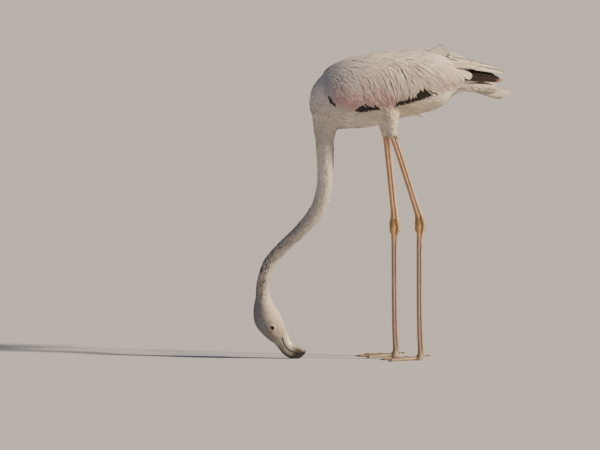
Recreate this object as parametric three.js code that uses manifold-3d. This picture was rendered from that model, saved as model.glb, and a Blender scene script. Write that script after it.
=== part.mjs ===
// Greater flamingo, immature plumage, feeding with its bill on the ground.
// Millimetres, +Z up. The bird faces -X, its left side is -Y, and its toes and
// the bend of its bill stand on Z = 0. The origin is under the middle of the bird.

import * as THREE from 'three';
import { mergeVertices } from 'three/addons/utils/BufferGeometryUtils.js';
import Module from 'manifold-3d';

const wasm = await Module();
wasm.setup();

// ---- Driving dimensions ---------------------------------------------------

const GAP = 0.3;               // clearance between neighbouring pieces
const COVERT_DEPTH = 8.5;      // thickness of the folded wing over the trunk
const QUILL_DEPTH = 5;         // thickness of the secondaries under the coverts
const BACK_SLIT = 1.5;         // half the slit between the wings along the back

// Trunk, breast to rump: [x, top z, bottom z, half width].
const TRUNK = [
  [-173, 630, 604, 11],
  [-166, 658, 580, 31],
  [-139, 690, 554, 53],
  [-92, 715, 551, 70],
  [-30, 731, 555, 76],
  [30, 735, 574, 73],
  [90, 738, 587, 63],
  [138, 733, 604, 50],
  [174, 715, 634, 35],
  [226, 680, 645, 20],
];

const TRUNK_MIDDLE = 25;

// Neck, from inside the breast to the nape: [x, z, radius fore-and-aft, half width].
const NECK = [
  [-132, 598, 40, 35],
  [-138, 554, 30, 27.5],
  [-138.5, 521, 24, 24],
  [-137, 466, 21.1, 20.5],
  [-139, 410, 20.8, 19.5],
  [-156, 359, 19.6, 18.5],
  [-194, 311, 17.4, 17.2],
  [-236, 271, 16.2, 16.2],
  [-271, 231, 16.1, 15.6],
  [-287, 182, 16.7, 15.8],
  [-287, 149, 19, 16.3],
  [-284, 127, 26, 21.2],
];
const NECK_END = 10 / 11;          // the nape; the last row only leads the curve on
const NECK_JOINS = [0.36, 0.64];   // where the neck is parted, as a share of the curve

// Head, nape to the root of the bill: [x, z, throat radius, crown radius, half width].
const HEAD = [
  [-287, 182, 16.7, 16.7, 15.8],
  [-287, 149, 19, 19, 16.3],
  [-284, 127, 25, 27.2, 21.2],
  [-275.5, 97, 31.6, 34.2, 23.8],
  [-260.5, 71.5, 28.4, 29.6, 20.6],
  [-245, 51, 21.6, 22.2, 13.6],
];

const HEAD_START = 1 / 5;          // the nape; the first row only leads the curve in

// Bill, root to tip: [culmen x, culmen z, keel x, keel z, half width].
const BILL = [
  [-262.6, 39, -226.4, 62, 13],
  [-252, 27, -222.8, 47.5, 12.4],
  [-242, 14.5, -216.8, 38, 11.8],
  [-231, 5, -207.6, 33, 11],
  [-217, -0.6, -199.6, 28.8, 9.6],
  [-201, -0.6, -191.6, 25, 7.6],
  [-190, 6.4, -186, 21.4, 5],
  [-183.4, 15.4, -182.2, 18.6, 2],
];
const GAPE = [
  [-272, 84], [-243, 52.5], [-236, 35], [-224, 20.5], [-205, 13.4], [-189, 15.4], [-170, 20],
];

const EYE = { x: -264.6, z: 75.5, y: 16.8, radius: 6.6 };

// Folded wing seen from the side: lower edge from wrist to the end of the coverts.
const WING_EDGE = [
  [-152, 652], [-135, 629], [-109, 612], [-72, 606], [-18, 614], [35, 626],
  [78, 636], [114, 646], [150, 657], [190, 667], [214, 670], [230, 688],
];
const QUILL_EDGE = [[-86, 603], [-60, 598.5], [-18, 603], [35, 614], [78, 624], [114, 637], [138, 651]];

// Long feathers past the coverts: [x, y outwards, z, half thickness, half height].
const TERTIALS = [
  [150, 33, 705, 3, 10],
  [200, 25, 700, 3.6, 14],
  [232, 19, 697, 3.4, 12.5],
  [264, 14, 694.4, 2.6, 7.5],
  [292, 10, 688.6, 1.2, 2],
];
const PRIMARIES = [
  [160, 33.5, 679, 2.6, 6],
  [215, 24, 673.5, 3.2, 9.5],
  [250, 17, 676, 3, 10],
  [274, 13, 674, 2.2, 7.5],
  [289, 11, 669.4, 1.2, 2.4],
];

// Tail, root to tip: [x, z, half thickness, half width]. Its sides droop.
const TAIL = [
  [168, 664, 10, 22],
  [205, 660, 9, 27],
  [250, 655, 7, 31],
  [290, 646, 4.4, 26],
  [308, 640.5, 1.4, 16],
];
const TAIL_DROOP = 13;

// Legs: side is -1 for the left leg and 1 for the right one. Thigh rows are
// [x, z, radius]; leg rows are [x, z, radius fore-and-aft, half width]. The last row
// of one and the first row of the other only lead the curve on.
const LEG_SPREAD = 38;         // half the distance between the two legs
const LEFT_LEG = {
  side: -1,
  thigh: [[4, 628, 30], [13, 597, 26.4], [18, 575, 20], [21.4, 557, 14], [25, 540, 9.8], [40, 495, 8.8]],
  line: [
    [21.4, 557, 9, 6], [25, 540, 8.8, 5.8], [40, 495, 8.8, 5.8], [57, 442, 8.6, 5.7],
    [76.4, 381, 8.6, 5.8], [86, 351, 10, 6.8], [91.6, 334, 15.2, 9.2], [91.2, 319, 13.4, 8.8],
    [90, 303, 9, 6.4], [88.6, 272, 7.8, 5.4], [88.6, 206, 7.6, 5.2], [88.8, 142, 7.6, 5.2],
    [90, 76, 7.8, 5.4], [92.4, 17, 8.2, 6], [93, -14, 8.2, 6],
  ],
};
const RIGHT_LEG = {
  side: 1,
  thigh: [[-3, 628, 30], [1, 598, 26.4], [5, 575, 20], [7, 554, 14], [9, 536, 9.8], [14, 492, 8.8]],
  line: [
    [7, 554, 9, 6], [9, 536, 8.8, 5.8], [14, 492, 8.8, 5.8], [19.4, 439, 8.6, 5.7],
    [26, 374, 8.6, 5.8], [29.4, 342, 10, 6.8], [31.4, 324, 15.2, 9.2], [31, 309, 13.4, 8.8],
    [30, 293, 9, 6.4], [29.2, 262, 7.8, 5.4], [29.4, 198, 7.6, 5.2], [29.8, 138, 7.6, 5.2],
    [31, 74, 7.8, 5.4], [33.4, 17, 8.2, 6], [34, -14, 8.2, 6],
  ],
};
const LEG_JOINS = [1, 5, 8, 13];   // rows of the line where the leg is parted

// Toes: angle outwards from straight ahead, length, claw length.
const TOES = {
  inner: { angle: -27, length: 62, claw: 8 },
  middle: { angle: 2, length: 80, claw: 9 },
  outer: { angle: 30, length: 72, claw: 8 },
};
const FOOT_HEIGHT = 16;
const TOE_RADIUS = 5.4;
const HALLUX = { length: 13, radius: 2.6, height: 9 };
const WEB = { thickness: 1.4, height: 1.6, reach: 0.74, notch: 0.46 };

// ---- Materials --------------------------------------------------------------

const look = (color, roughness) => new THREE.MeshStandardMaterial({ color, roughness, metalness: 0 });
const PLUMAGE = look('#d9d2ca', 0.9);
const WING_WASH = look('#dcc8c2', 0.85);
const NECK_DOWN = look('#bdb4ac', 0.9);
const FLIGHT = look('#1d1a19', 0.7);
const LEG_SKIN = look('#b98a68', 0.6);
const BILL_HORN = look('#8d8681', 0.5);
const EYE_DARK = look('#1b1512', 0.1);
const CLAW_HORN = look('#4a4038', 0.5);

const flamingo = new THREE.Group();

// ---- Shapes ----------------------------------------------------------------

// A smooth run through a table of numbers: reads every column at any share t.
function run(rows) {
  const width = rows[0].length;
  const curves = [];
  for (let c = 0; c < width; c += 3) {
    const points = rows.map((row) => new THREE.Vector3(...[0, 1, 2].map((k) => row[c + k] ?? 0)));
    curves.push(new THREE.CatmullRomCurve3(points, false, 'catmullrom', 0.5));
  }
  return (t) => curves.flatMap((curve) => curve.getPoint(t).toArray()).slice(0, width);
}

// A closed skin over rings. ringAt(t) gives { centre, side, over, under }, each a
// vector; the ends are domed by a share of their own radius, or flat where it is 0.
function skin(ringAt, { rows, round, dome = [0, 0], from = 0, to = 1, shape = null, domeSteps = 3 }) {
  const domeRows = dome.map((d) => (d > 0 ? domeSteps : 1));
  const steps = [];
  for (let k = 0; k <= domeRows[0]; k++) {
    const turn = (Math.PI / 2) * (k / domeRows[0]);
    steps.push({ t: from, size: dome[0] ? Math.sin(turn) : k, push: -dome[0] * Math.cos(turn) });
  }
  for (let k = 1; k < rows; k++) {
    steps.push({ t: from + (to - from) * (k / rows), size: 1, push: 0 });
  }
  for (let k = domeRows[1]; k >= 0; k--) {
    const turn = (Math.PI / 2) * (k / domeRows[1]);
    steps.push({ t: to, size: dome[1] ? Math.sin(turn) : k, push: dome[1] * Math.cos(turn) });
  }
  const ball = new THREE.SphereGeometry(1, round, steps.length - 1);
  const position = ball.attributes.position;
  const point = new THREE.Vector3();
  steps.forEach(({ t, size, push }, row) => {
    const ring = ringAt(t);
    const ahead = new THREE.Vector3().crossVectors(ring.side, ring.over).normalize();
    const reach = (ring.over.length() + ring.under.length()) / 2;
    for (let i = 0; i <= round; i++) {
      const turn = 2 * Math.PI * ((i % round) / round);
      const narrow = shape ? shape(turn, t) : 1;
      point.copy(ring.centre);
      point.addScaledVector(ring.side, Math.cos(turn) * size * narrow);
      point.addScaledVector(Math.sin(turn) >= 0 ? ring.over : ring.under, Math.abs(Math.sin(turn)) * size);
      point.addScaledVector(ahead, push * reach);
      position.setXYZ(row * (round + 1) + i, point.x, point.y, point.z);
    }
  });
  return ball;
}

// A closed geometry as a solid, and a solid as a geometry again.
function solid(geometry, floor = false) {
  const shell = geometry.clone();
  shell.deleteAttribute('normal');
  shell.deleteAttribute('uv');
  if (floor) {
    const p = shell.attributes.position;
    for (let i = 0; i < p.count; i++) {
      p.setZ(i, Math.max(0, p.getZ(i)));
    }
  }
  const merged = mergeVertices(shell, 1e-3);
  const index = Array.from(merged.index.array);
  const triVerts = [];
  for (let i = 0; i < index.length; i += 3) {
    const [a, b, c] = [index[i], index[i + 1], index[i + 2]];
    if (a !== b && b !== c && c !== a) {
      triVerts.push(a, b, c);
    }
  }
  const made = manifoldOf(merged.attributes.position.array, triVerts);
  if (made.volume() > 0) {
    return made;
  }
  for (let i = 0; i < triVerts.length; i += 3) {
    [triVerts[i + 1], triVerts[i + 2]] = [triVerts[i + 2], triVerts[i + 1]];
  }
  return manifoldOf(merged.attributes.position.array, triVerts);
}

function manifoldOf(positions, triVerts) {
  return new wasm.Manifold(new wasm.Mesh({
    numProp: 3,
    vertProperties: new Float32Array(positions),
    triVerts: new Uint32Array(triVerts),
  }));
}

function place(name, body, material) {
  const mesh = body.getMesh();
  const geometry = new THREE.BufferGeometry();
  geometry.setAttribute('position', new THREE.BufferAttribute(new Float32Array(mesh.vertProperties), 3));
  geometry.setIndex(new THREE.BufferAttribute(new Uint32Array(mesh.triVerts), 1));
  geometry.computeVertexNormals();
  const piece = new THREE.Mesh(geometry, material);
  piece.name = name;
  flamingo.add(piece);
}

// The largest body of a cut, without the crumbs that a cut may leave.
function largest(body) {
  return body.decompose().reduce((a, b) => (a.volume() > b.volume() ? a : b));
}

// An outline in the XZ plane, made a slab from y0 to y1.
function slab(outline, y0, y1) {
  const shape = new THREE.Shape(outline.map(([x, z]) => new THREE.Vector2(x, z)));
  const slabGeometry = new THREE.ExtrudeGeometry(shape, { depth: y1 - y0, bevelEnabled: false });
  slabGeometry.rotateX(Math.PI / 2);
  slabGeometry.translate(0, y1, 0);
  return solid(slabGeometry);
}

// Points along a smooth line through an outline's corners.
function smooth(corners, count) {
  const points = corners.map(([x, z]) => new THREE.Vector3(x, 0, z));
  const line = new THREE.CatmullRomCurve3(points, false, 'centripetal');
  return line.getPoints(count).map((p) => [p.x, p.z]);
}

// A ring square to a line that lies in a plane of constant y.
function ringAlong(at, t, y, radii) {
  const [x, z] = at(t);
  const [xa, za] = at(Math.max(0, t - 0.004));
  const [xb, zb] = at(Math.min(1, t + 0.004));
  const ahead = new THREE.Vector3(xb - xa, 0, zb - za).normalize();
  const over = new THREE.Vector3(-ahead.z, 0, ahead.x);
  return {
    centre: new THREE.Vector3(x, y, z),
    side: new THREE.Vector3(0, radii.half, 0),
    over: over.clone().multiplyScalar(radii.over),
    under: over.clone().multiplyScalar(-radii.under),
  };
}

// ---- Trunk, neck, head and bill ---------------------------------------------

function trunkBody(grow) {
  const at = run(TRUNK);
  const ring = (t) => {
    const [x, top, bottom, half] = at(t);
    const tall = (top - bottom) / 2 + grow;
    const spread = TRUNK_MIDDLE + (x - TRUNK_MIDDLE) * (1 + grow / 200);
    return {
      centre: new THREE.Vector3(spread, 0, (top + bottom) / 2),
      side: new THREE.Vector3(0, half + grow, 0),
      over: new THREE.Vector3(0, 0, tall),
      under: new THREE.Vector3(0, 0, -tall),
    };
  };
  return solid(skin(ring, { rows: 14, round: 20, dome: [0.15, 0.35], domeSteps: 2 }));
}

const neckAt = run(NECK);
function neckLength(from, to, rows) {
  const ring = (t) => {
    const [, , radius, half] = neckAt(t);
    return ringAlong(neckAt, t, 0, { over: radius, under: radius, half });
  };
  return solid(skin(ring, { rows, round: 14, from, to }));
}

// Half the gap between two pieces, as a share of their common curve at t.
function halfGap(at, t) {
  const [xa, za] = at(t - 0.001);
  const [xb, zb] = at(t + 0.001);
  return (GAP / 2) * (0.002 / Math.hypot(xb - xa, zb - za));
}

const trunk = trunkBody(0);
const trunkClear = trunkBody(GAP);

const headAt = run(HEAD);
function headBody(grow) {
  const from = HEAD_START + halfGap(headAt, HEAD_START);
  const ring = (t) => {
    const [, , throat, crown, half] = headAt(t);
    return ringAlong(headAt, t, 0, { over: throat + grow, under: crown + grow, half: half + grow });
  };
  return solid(skin(ring, { rows: 8, round: 16, from, dome: [0, 0.3 + grow * 0.05], domeSteps: 2 }));
}

const billAt = run(BILL);
function billBody() {
  const ring = (t) => {
    const [cx, cz, kx, kz, half] = billAt(t);
    const keel = new THREE.Vector3((kx - cx) / 2, 0, (kz - cz) / 2);
    return {
      centre: new THREE.Vector3((cx + kx) / 2, 0, (cz + kz) / 2),
      side: new THREE.Vector3(0, half, 0),
      over: keel,
      under: keel.clone().negate(),
    };
  };
  return solid(skin(ring, { rows: 10, round: 14, dome: [0, 0.6], domeSteps: 2 }), true);
}

function ball(x, y, z, radius) {
  const sphere = new THREE.SphereGeometry(radius, 10, 7);
  sphere.translate(x, y, z);
  return solid(sphere);
}

place('trunk', trunk, PLUMAGE);
const [lowJoin, highJoin] = NECK_JOINS;
const [lowGap, highGap, napeGap] = [lowJoin, highJoin, NECK_END].map((t) => halfGap(neckAt, t));
place('neck_lower', largest(neckLength(0, lowJoin - lowGap, 9).subtract(trunkClear)), PLUMAGE);
place('neck_middle', neckLength(lowJoin + lowGap, highJoin - highGap, 8), NECK_DOWN);
place('neck_upper', neckLength(highJoin + highGap, NECK_END - napeGap, 8), NECK_DOWN);

let head = headBody(0);
const headClear = headBody(GAP);
for (const [name, side] of [['left', -1], ['right', 1]]) {
  head = head.subtract(ball(EYE.x, side * EYE.y, EYE.z, EYE.radius + GAP));
  place(`eye_${name}`, ball(EYE.x, side * EYE.y, EYE.z, EYE.radius), EYE_DARK);
}
place('head', head, NECK_DOWN);

// The gape parts the bill: the narrow lid below it on this bowed head, the deep
// lower half above it.
const gapeLine = smooth(GAPE, 16);
const lidEdge = gapeLine.map(([x, z]) => [x - GAP / 2, z - GAP / 2]);
const jawEdge = gapeLine.map(([x, z]) => [x + GAP / 2, z + GAP / 2]);
const lidSide = slab([...lidEdge, [-170, -20], [-300, -20], [-300, 84]], -30, 30);
const jawSide = slab([...jawEdge, [-170, 90]], -30, 30);
const bill = billBody().subtract(headClear);
place('bill_upper', largest(bill.intersect(lidSide)), BILL_HORN);
place('bill_lower', largest(bill.intersect(jawSide)), BILL_HORN);

// ---- Wings -------------------------------------------------------------------

// A flat bundle of long feathers, on one side of the rump.
function featherBundle(rows, side, grow) {
  const at = run(rows);
  const ring = (t) => {
    const [x, y, z, thin, tall] = at(t);
    return {
      centre: new THREE.Vector3(x, side * y, z),
      side: new THREE.Vector3(0, thin + grow, 0),
      over: new THREE.Vector3(0, 0, tall + grow),
      under: new THREE.Vector3(0, 0, -tall - grow),
    };
  };
  return solid(skin(ring, { rows: 6, round: 8, dome: [0.1, 1.2], domeSteps: 2 }));
}

function tailBody(grow) {
  const at = run(TAIL);
  const ring = (t) => {
    const [, , thin, half] = at(t);
    return ringAlong(at, t, 0, { over: thin + grow, under: thin + grow, half: half + grow });
  };
  const fan = skin(ring, { rows: 6, round: 14, dome: [0.1, 1], domeSteps: 2 });
  const p = fan.attributes.position;
  for (let i = 0; i < p.count; i++) {
    p.setZ(i, p.getZ(i) - TAIL_DROOP * (p.getY(i) / TAIL[2][3]) ** 2);
  }
  return solid(fan);
}

function thighBody(leg, grow) {
  const at = run(leg.thigh);
  const end = (leg.thigh.length - 2) / (leg.thigh.length - 1);
  const ring = (t) => {
    const radius = at(t)[2] + grow;
    return ringAlong(at, t, leg.side * LEG_SPREAD, { over: radius, under: radius, half: radius * 0.86 });
  };
  const to = end - halfGap(at, end);
  return solid(skin(ring, { rows: 6, round: 14, dome: [0.5, 0], domeSteps: 2, to }));
}

const quillLine = smooth(QUILL_EDGE, 12).reverse();
const wingLine = smooth(WING_EDGE, 18);
const overBack = [[230, 800], [-110, 800], [-128, 708], [-146, 684]];
const tailClear = tailBody(GAP);
place('tail', largest(tailBody(0).subtract(trunkClear)), PLUMAGE);

for (const [name, side, leg] of [['left', -1, LEFT_LEG], ['right', 1, RIGHT_LEG]]) {
  const [y0, y1] = side < 0 ? [-130, -BACK_SLIT] : [BACK_SLIT, 130];
  const tertials = featherBundle(TERTIALS, side, 0);
  const primaries = featherBundle(PRIMARIES, side, 0);
  const longClear = featherBundle(TERTIALS, side, GAP).add(featherBundle(PRIMARIES, side, GAP));
  const coverts = trunkBody(COVERT_DEPTH)
    .intersect(slab([...wingLine, ...overBack], y0, y1))
    .subtract(trunkClear)
    .subtract(tailClear)
    .subtract(longClear);
  const below = wingLine.map(([x, z]) => [x, z - GAP * 1.3]);
  const quills = trunkBody(QUILL_DEPTH)
    .intersect(slab([...below.filter(([x]) => x > -88 && x < 140), ...quillLine], y0, y1))
    .subtract(trunkClear)
    .subtract(thighBody(leg, GAP));
  place(`wing_${name}`, largest(coverts), WING_WASH);
  place(`secondaries_${name}`, largest(quills), FLIGHT);
  place(`tertials_${name}`, largest(tertials.subtract(trunkClear)), WING_WASH);
  place(`primaries_${name}`, largest(primaries.subtract(trunkClear)), FLIGHT);
}

// ---- Legs --------------------------------------------------------------------

// A length of leg between two of its rows: bone in front, tendon behind, with a
// shallow groove between them on either side.
function legLength(leg, first, last) {
  const at = run(leg.line);
  const [from, to] = [first, last].map((row) => row / (leg.line.length - 1));
  const ring = (t) => {
    const [, , fore, half] = at(t);
    return ringAlong(at, t, leg.side * LEG_SPREAD, { over: fore, under: fore, half });
  };
  const shape = (turn) => 1 - 0.16 * Math.exp(-((Math.sin(turn) / 0.32) ** 2));
  const span = { from: from + halfGap(at, from), to: to - halfGap(at, to) };
  return solid(skin(ring, { rows: Math.max(5, last - first + 1), round: 10, shape, ...span }));
}

// A toe lying on the floor, its joints slightly swollen, its sole flat.
function toeSkin(start, heading, length, radius, grow) {
  const ahead = new THREE.Vector3(Math.cos(heading), Math.sin(heading), 0);
  const across = new THREE.Vector3(-ahead.y, ahead.x, 0);
  const ring = (t) => {
    const pads = 1 + 0.08 * Math.cos(t * 4 * Math.PI);
    const r = radius * (1 - 0.42 * t) * pads + grow;
    return {
      centre: start.clone().addScaledVector(ahead, t * length).setZ(r * 0.72 - grow * 0.7),
      side: across.clone().multiplyScalar(r),
      over: new THREE.Vector3(0, 0, r * 0.92),
      under: new THREE.Vector3(0, 0, -r * 0.92),
    };
  };
  return skin(ring, { rows: 6, round: 8, dome: [0.5, 0.5], domeSteps: 2 });
}

function clawSkin(tip, heading, length, lift) {
  const ahead = new THREE.Vector3(Math.cos(heading), Math.sin(heading), 0);
  const across = new THREE.Vector3(-ahead.y, ahead.x, 0);
  const ring = (t) => {
    const r = 2.1 * (1 - 0.72 * t);
    return {
      centre: tip.clone().addScaledVector(ahead, t * length).setZ(lift + 2.4 - 1.5 * t * t),
      side: across.clone().multiplyScalar(r * 0.8),
      over: new THREE.Vector3(0, 0, r),
      under: new THREE.Vector3(0, 0, -r),
    };
  };
  return skin(ring, { rows: 3, round: 6, dome: [0.3, 0.6], domeSteps: 1 });
}

for (const [name, leg] of [['left', LEFT_LEG], ['right', RIGHT_LEG]]) {
  const y = leg.side * LEG_SPREAD;
  const thigh = thighBody(leg, 0).subtract(trunkClear);
  const [ankleX] = leg.line[LEG_JOINS[3]];

  // The foot joins the tarsus to three webbed toes, and stands on the floor.
  const root = new THREE.Vector3(ankleX - 9, y, 0);
  const headings = {};
  const toes = {};
  for (const [toe, { angle, length }] of Object.entries(TOES)) {
    headings[toe] = Math.PI - leg.side * THREE.MathUtils.degToRad(angle);
    toes[toe] = { body: solid(toeSkin(root, headings[toe], length, TOE_RADIUS, 0), true) };
    toes[toe].clear = solid(toeSkin(root, headings[toe], length, TOE_RADIUS, GAP), true);
  }
  const footRing = (grow) => (t) => {
    const spread = 8.4 + 2.4 * t + grow;
    return {
      centre: new THREE.Vector3(ankleX - 4.5 * t, y, (FOOT_HEIGHT + grow) * (1 - t) - grow * t),
      side: new THREE.Vector3(0, -(6.2 + 4.8 * t + grow), 0),
      over: new THREE.Vector3(-spread, 0, 0),
      under: new THREE.Vector3(spread, 0, 0),
    };
  };
  const foot = solid(skin(footRing(0), { rows: 3, round: 12 }), true);
  const footClear = solid(skin(footRing(GAP), { rows: 3, round: 12 }), true);

  place(`thigh_${name}`, largest(thigh), PLUMAGE);
  place(`shin_${name}`, legLength(leg, LEG_JOINS[0], LEG_JOINS[1]), LEG_SKIN);
  place(`hock_${name}`, legLength(leg, LEG_JOINS[1], LEG_JOINS[2]), LEG_SKIN);
  place(`tarsus_${name}`, legLength(leg, LEG_JOINS[2], LEG_JOINS[3]), LEG_SKIN);
  place(`foot_${name}`, foot, LEG_SKIN);

  let between = footClear;
  for (const toe of ['middle', 'inner', 'outer']) {
    const { length, claw } = TOES[toe];
    const heading = headings[toe];
    const tip = new THREE.Vector3(
      root.x + Math.cos(heading) * (length + 1.5),
      root.y + Math.sin(heading) * (length + 1.5),
      0,
    );
    const nail = solid(clawSkin(tip, heading, claw, 0), true);
    place(`toe_${toe}_${name}`, largest(toes[toe].body.subtract(between)), LEG_SKIN);
    place(`claw_${toe}_${name}`, largest(nail.subtract(toes[toe].clear)), CLAW_HORN);
    between = between.add(toes[toe].clear);
  }

  // Webs: thin skins between the toes, their free edge notched.
  for (const [web, one, two] of [['inner', 'inner', 'middle'], ['outer', 'middle', 'outer']]) {
    const reach = (toe) => root.clone().add(new THREE.Vector3(
      Math.cos(headings[toe]) * TOES[toe].length * WEB.reach,
      Math.sin(headings[toe]) * TOES[toe].length * WEB.reach,
      0,
    ));
    const [a, b] = [reach(one), reach(two)];
    const middle = a.clone().add(b).multiplyScalar(0.5).sub(root);
    middle.multiplyScalar(WEB.notch / WEB.reach).add(root);
    const outline = new THREE.Shape();
    outline.moveTo(root.x, root.y);
    outline.lineTo(a.x, a.y);
    outline.quadraticCurveTo(middle.x, middle.y, b.x, b.y);
    outline.lineTo(root.x, root.y);
    const slice = { depth: WEB.thickness, bevelEnabled: false, curveSegments: 6 };
    const sheet = new THREE.ExtrudeGeometry(outline, slice);
    sheet.translate(0, 0, WEB.height);
    place(`web_${web}_${name}`, largest(solid(sheet).subtract(between)), LEG_SKIN);
  }

  // The small hind toe, held clear of the floor.
  const heel = new THREE.Vector3(ankleX + 4, y - leg.side * 1.5, 0);
  const hind = toeSkin(heel, 0, HALLUX.length, HALLUX.radius, 0);
  hind.translate(0, 0, HALLUX.height);
  const hindClear = toeSkin(heel, 0, HALLUX.length, HALLUX.radius, GAP);
  hindClear.translate(0, 0, HALLUX.height);
  const hindTip = new THREE.Vector3(heel.x + HALLUX.length, heel.y, 0);
  const hindClaw = clawSkin(hindTip, 0, 4.5, HALLUX.height - 1.2);
  place(`toe_hind_${name}`, largest(solid(hind).subtract(footClear)), LEG_SKIN);
  place(`claw_hind_${name}`, largest(solid(hindClaw).subtract(solid(hindClear))), CLAW_HORN);
}

export default flamingo;
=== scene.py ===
import math
import bpy
import numpy as np
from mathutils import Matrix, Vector
from mathutils.bvhtree import BVHTree


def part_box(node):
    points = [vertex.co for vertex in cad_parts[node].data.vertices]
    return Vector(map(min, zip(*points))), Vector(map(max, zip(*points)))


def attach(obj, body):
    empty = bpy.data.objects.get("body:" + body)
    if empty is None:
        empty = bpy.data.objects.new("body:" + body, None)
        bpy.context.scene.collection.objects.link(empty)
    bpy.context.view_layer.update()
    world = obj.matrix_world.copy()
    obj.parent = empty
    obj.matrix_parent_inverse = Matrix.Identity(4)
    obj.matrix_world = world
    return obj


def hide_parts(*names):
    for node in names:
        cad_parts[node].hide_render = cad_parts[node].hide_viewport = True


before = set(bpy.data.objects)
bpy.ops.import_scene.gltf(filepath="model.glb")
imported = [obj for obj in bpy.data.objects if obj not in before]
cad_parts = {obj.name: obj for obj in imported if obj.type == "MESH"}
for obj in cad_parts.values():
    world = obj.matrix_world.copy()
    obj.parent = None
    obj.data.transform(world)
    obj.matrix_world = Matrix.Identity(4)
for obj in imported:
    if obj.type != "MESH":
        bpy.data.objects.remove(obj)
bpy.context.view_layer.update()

# ---- Camera, floor and studio light ---------------------------------------------
# A long lens a few degrees above the bird's back, a pale seamless floor, a warm
# soft key from behind the tail end and a cool, very soft fill from the head end.
deg = math.radians
AIM = Vector((-0.198, 0.0, 0.3216))
STAND_OFF, TILT = 24.0, deg(5.0)
FILM, VIEW_WIDTH = 36.0, 1.44  # millimetres of film, and metres it sees across the bird
FLOOR_WIDTH, FLOOR_DROP = 90.0, 0.0004
scene = bpy.context.scene
bpy.ops.object.select_all(action="DESELECT")
bpy.ops.object.camera_add(location=AIM + STAND_OFF * Vector((0, -math.cos(TILT), math.sin(TILT))),
                          rotation=(deg(90) - TILT, 0, 0))
camera = bpy.context.object
camera.name = "long_lens"
camera.data.sensor_width = FILM
camera.data.lens = FILM * STAND_OFF / VIEW_WIDTH
camera.data.clip_end = 60.0
scene.camera = camera


def linear(hex_colour):
    """sRGB hex to linear RGB."""
    parts = [int(hex_colour[i:i + 2], 16) / 255 for i in (1, 3, 5)]
    return [p / 12.92 if p <= 0.04045 else ((p + 0.055) / 1.055) ** 2.4 for p in parts]


def node(tree, kind, settings=None, links=None, **inputs):
    """Add one shader node with its settings, its input values and its links."""
    made = tree.nodes.new(kind)
    for key, value in (settings or {}).items():
        setattr(made, key, value)
    for key, value in inputs.items():  # i1 is input number 1, From_Max the one of that name
        made.inputs[int(key[1:]) if key[1:].isdigit() else key.replace("_", " ")].default_value = value
    for key, source in (links or {}).items():
        tree.links.new(source, made.inputs[key])
    return made


bpy.ops.object.select_all(action="DESELECT")
bpy.ops.mesh.primitive_plane_add(size=FLOOR_WIDTH, location=(0, 0, -FLOOR_DROP))
floor = bpy.context.object
floor.name = "studio_floor"
paper = bpy.data.materials.new("studio_paper")
paper.use_nodes = True
shader = paper.node_tree.nodes["Principled BSDF"]
shader.inputs["Base Color"].default_value = (*linear("#c4c8cf"), 1)
shader.inputs["Roughness"].default_value = 0.9
floor.data.materials.append(paper)

for name, heading, height, strength, spread, colour in [
    ("key_light", -15, 30, 7.5, 5, "#ffe2c0"),
    ("fill_light", 235, 35, 0.18, 60, "#cfdcff"),
]:
    bpy.ops.object.light_add(type="SUN")
    lamp = bpy.context.object
    lamp.name = name
    lamp.data.energy = strength
    lamp.data.angle = deg(spread)
    lamp.data.color = linear(colour)
    lamp.rotation_euler = (0, deg(90 - height), deg(heading))
world = bpy.data.worlds.new("studio_air")
world.use_nodes = True
air = world.node_tree.nodes["Background"]
air.inputs["Color"].default_value = (*linear("#c3d2ea"), 1)
air.inputs["Strength"].default_value = 0.19
scene.world = world

# ---- Skin -----------------------------------------------------------------------
# One skin over the whole bird: lofted trunk, neck, head, thighs, legs and webbed
# feet, grown into one another by a voxel remesh and eased where they join. Under
# the plumage it lies inside the outline by the depth of the coat.
MM = 0.001
UP, ASIDE = np.array([0, 0, 1.0]), np.array([0, 1.0, 0])
TRUNK = [  # breast to rump: x, top z, bottom z, half width
    (-173, 630, 604, 11), (-166, 658, 580, 31), (-139, 690, 554, 53), (-92, 715, 551, 70),
    (-30, 731, 555, 76), (30, 735, 574, 73), (90, 738, 587, 63), (138, 733, 604, 50),
    (174, 715, 634, 35), (226, 680, 645, 20)]
NECK = [  # breast to nape: x, z, radius fore and aft, half width
    (-132, 598, 40, 35), (-138, 554, 30, 27.5), (-138.5, 521, 24, 24), (-137, 466, 21.1, 20.5),
    (-139, 410, 20.8, 19.5), (-156, 359, 19.6, 18.5), (-194, 311, 17.4, 17.2), (-236, 271, 16.2, 16.2),
    (-271, 231, 16.1, 15.6), (-287, 182, 16.7, 15.8), (-287, 149, 19, 16.3), (-284, 127, 26, 21.2)]
NECK_JOINS, NECK_ENDS = 9 / 11, 10 / 11  # shares of its run: where the head starts, and inside it
HEAD = [  # nape to bill: x, z, radius on the throat side, on the crown side, half width
    (-287, 182, 16.7, 16.7, 15.8), (-287, 149, 19, 19, 16.3), (-284, 127, 25, 27.2, 21.2),
    (-275.5, 97, 31.6, 34.2, 23.8), (-260.5, 71.5, 28.4, 29.6, 20.6), (-245, 51, 21.6, 22.2, 13.6)]
LEG_SPREAD = 38
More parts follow.
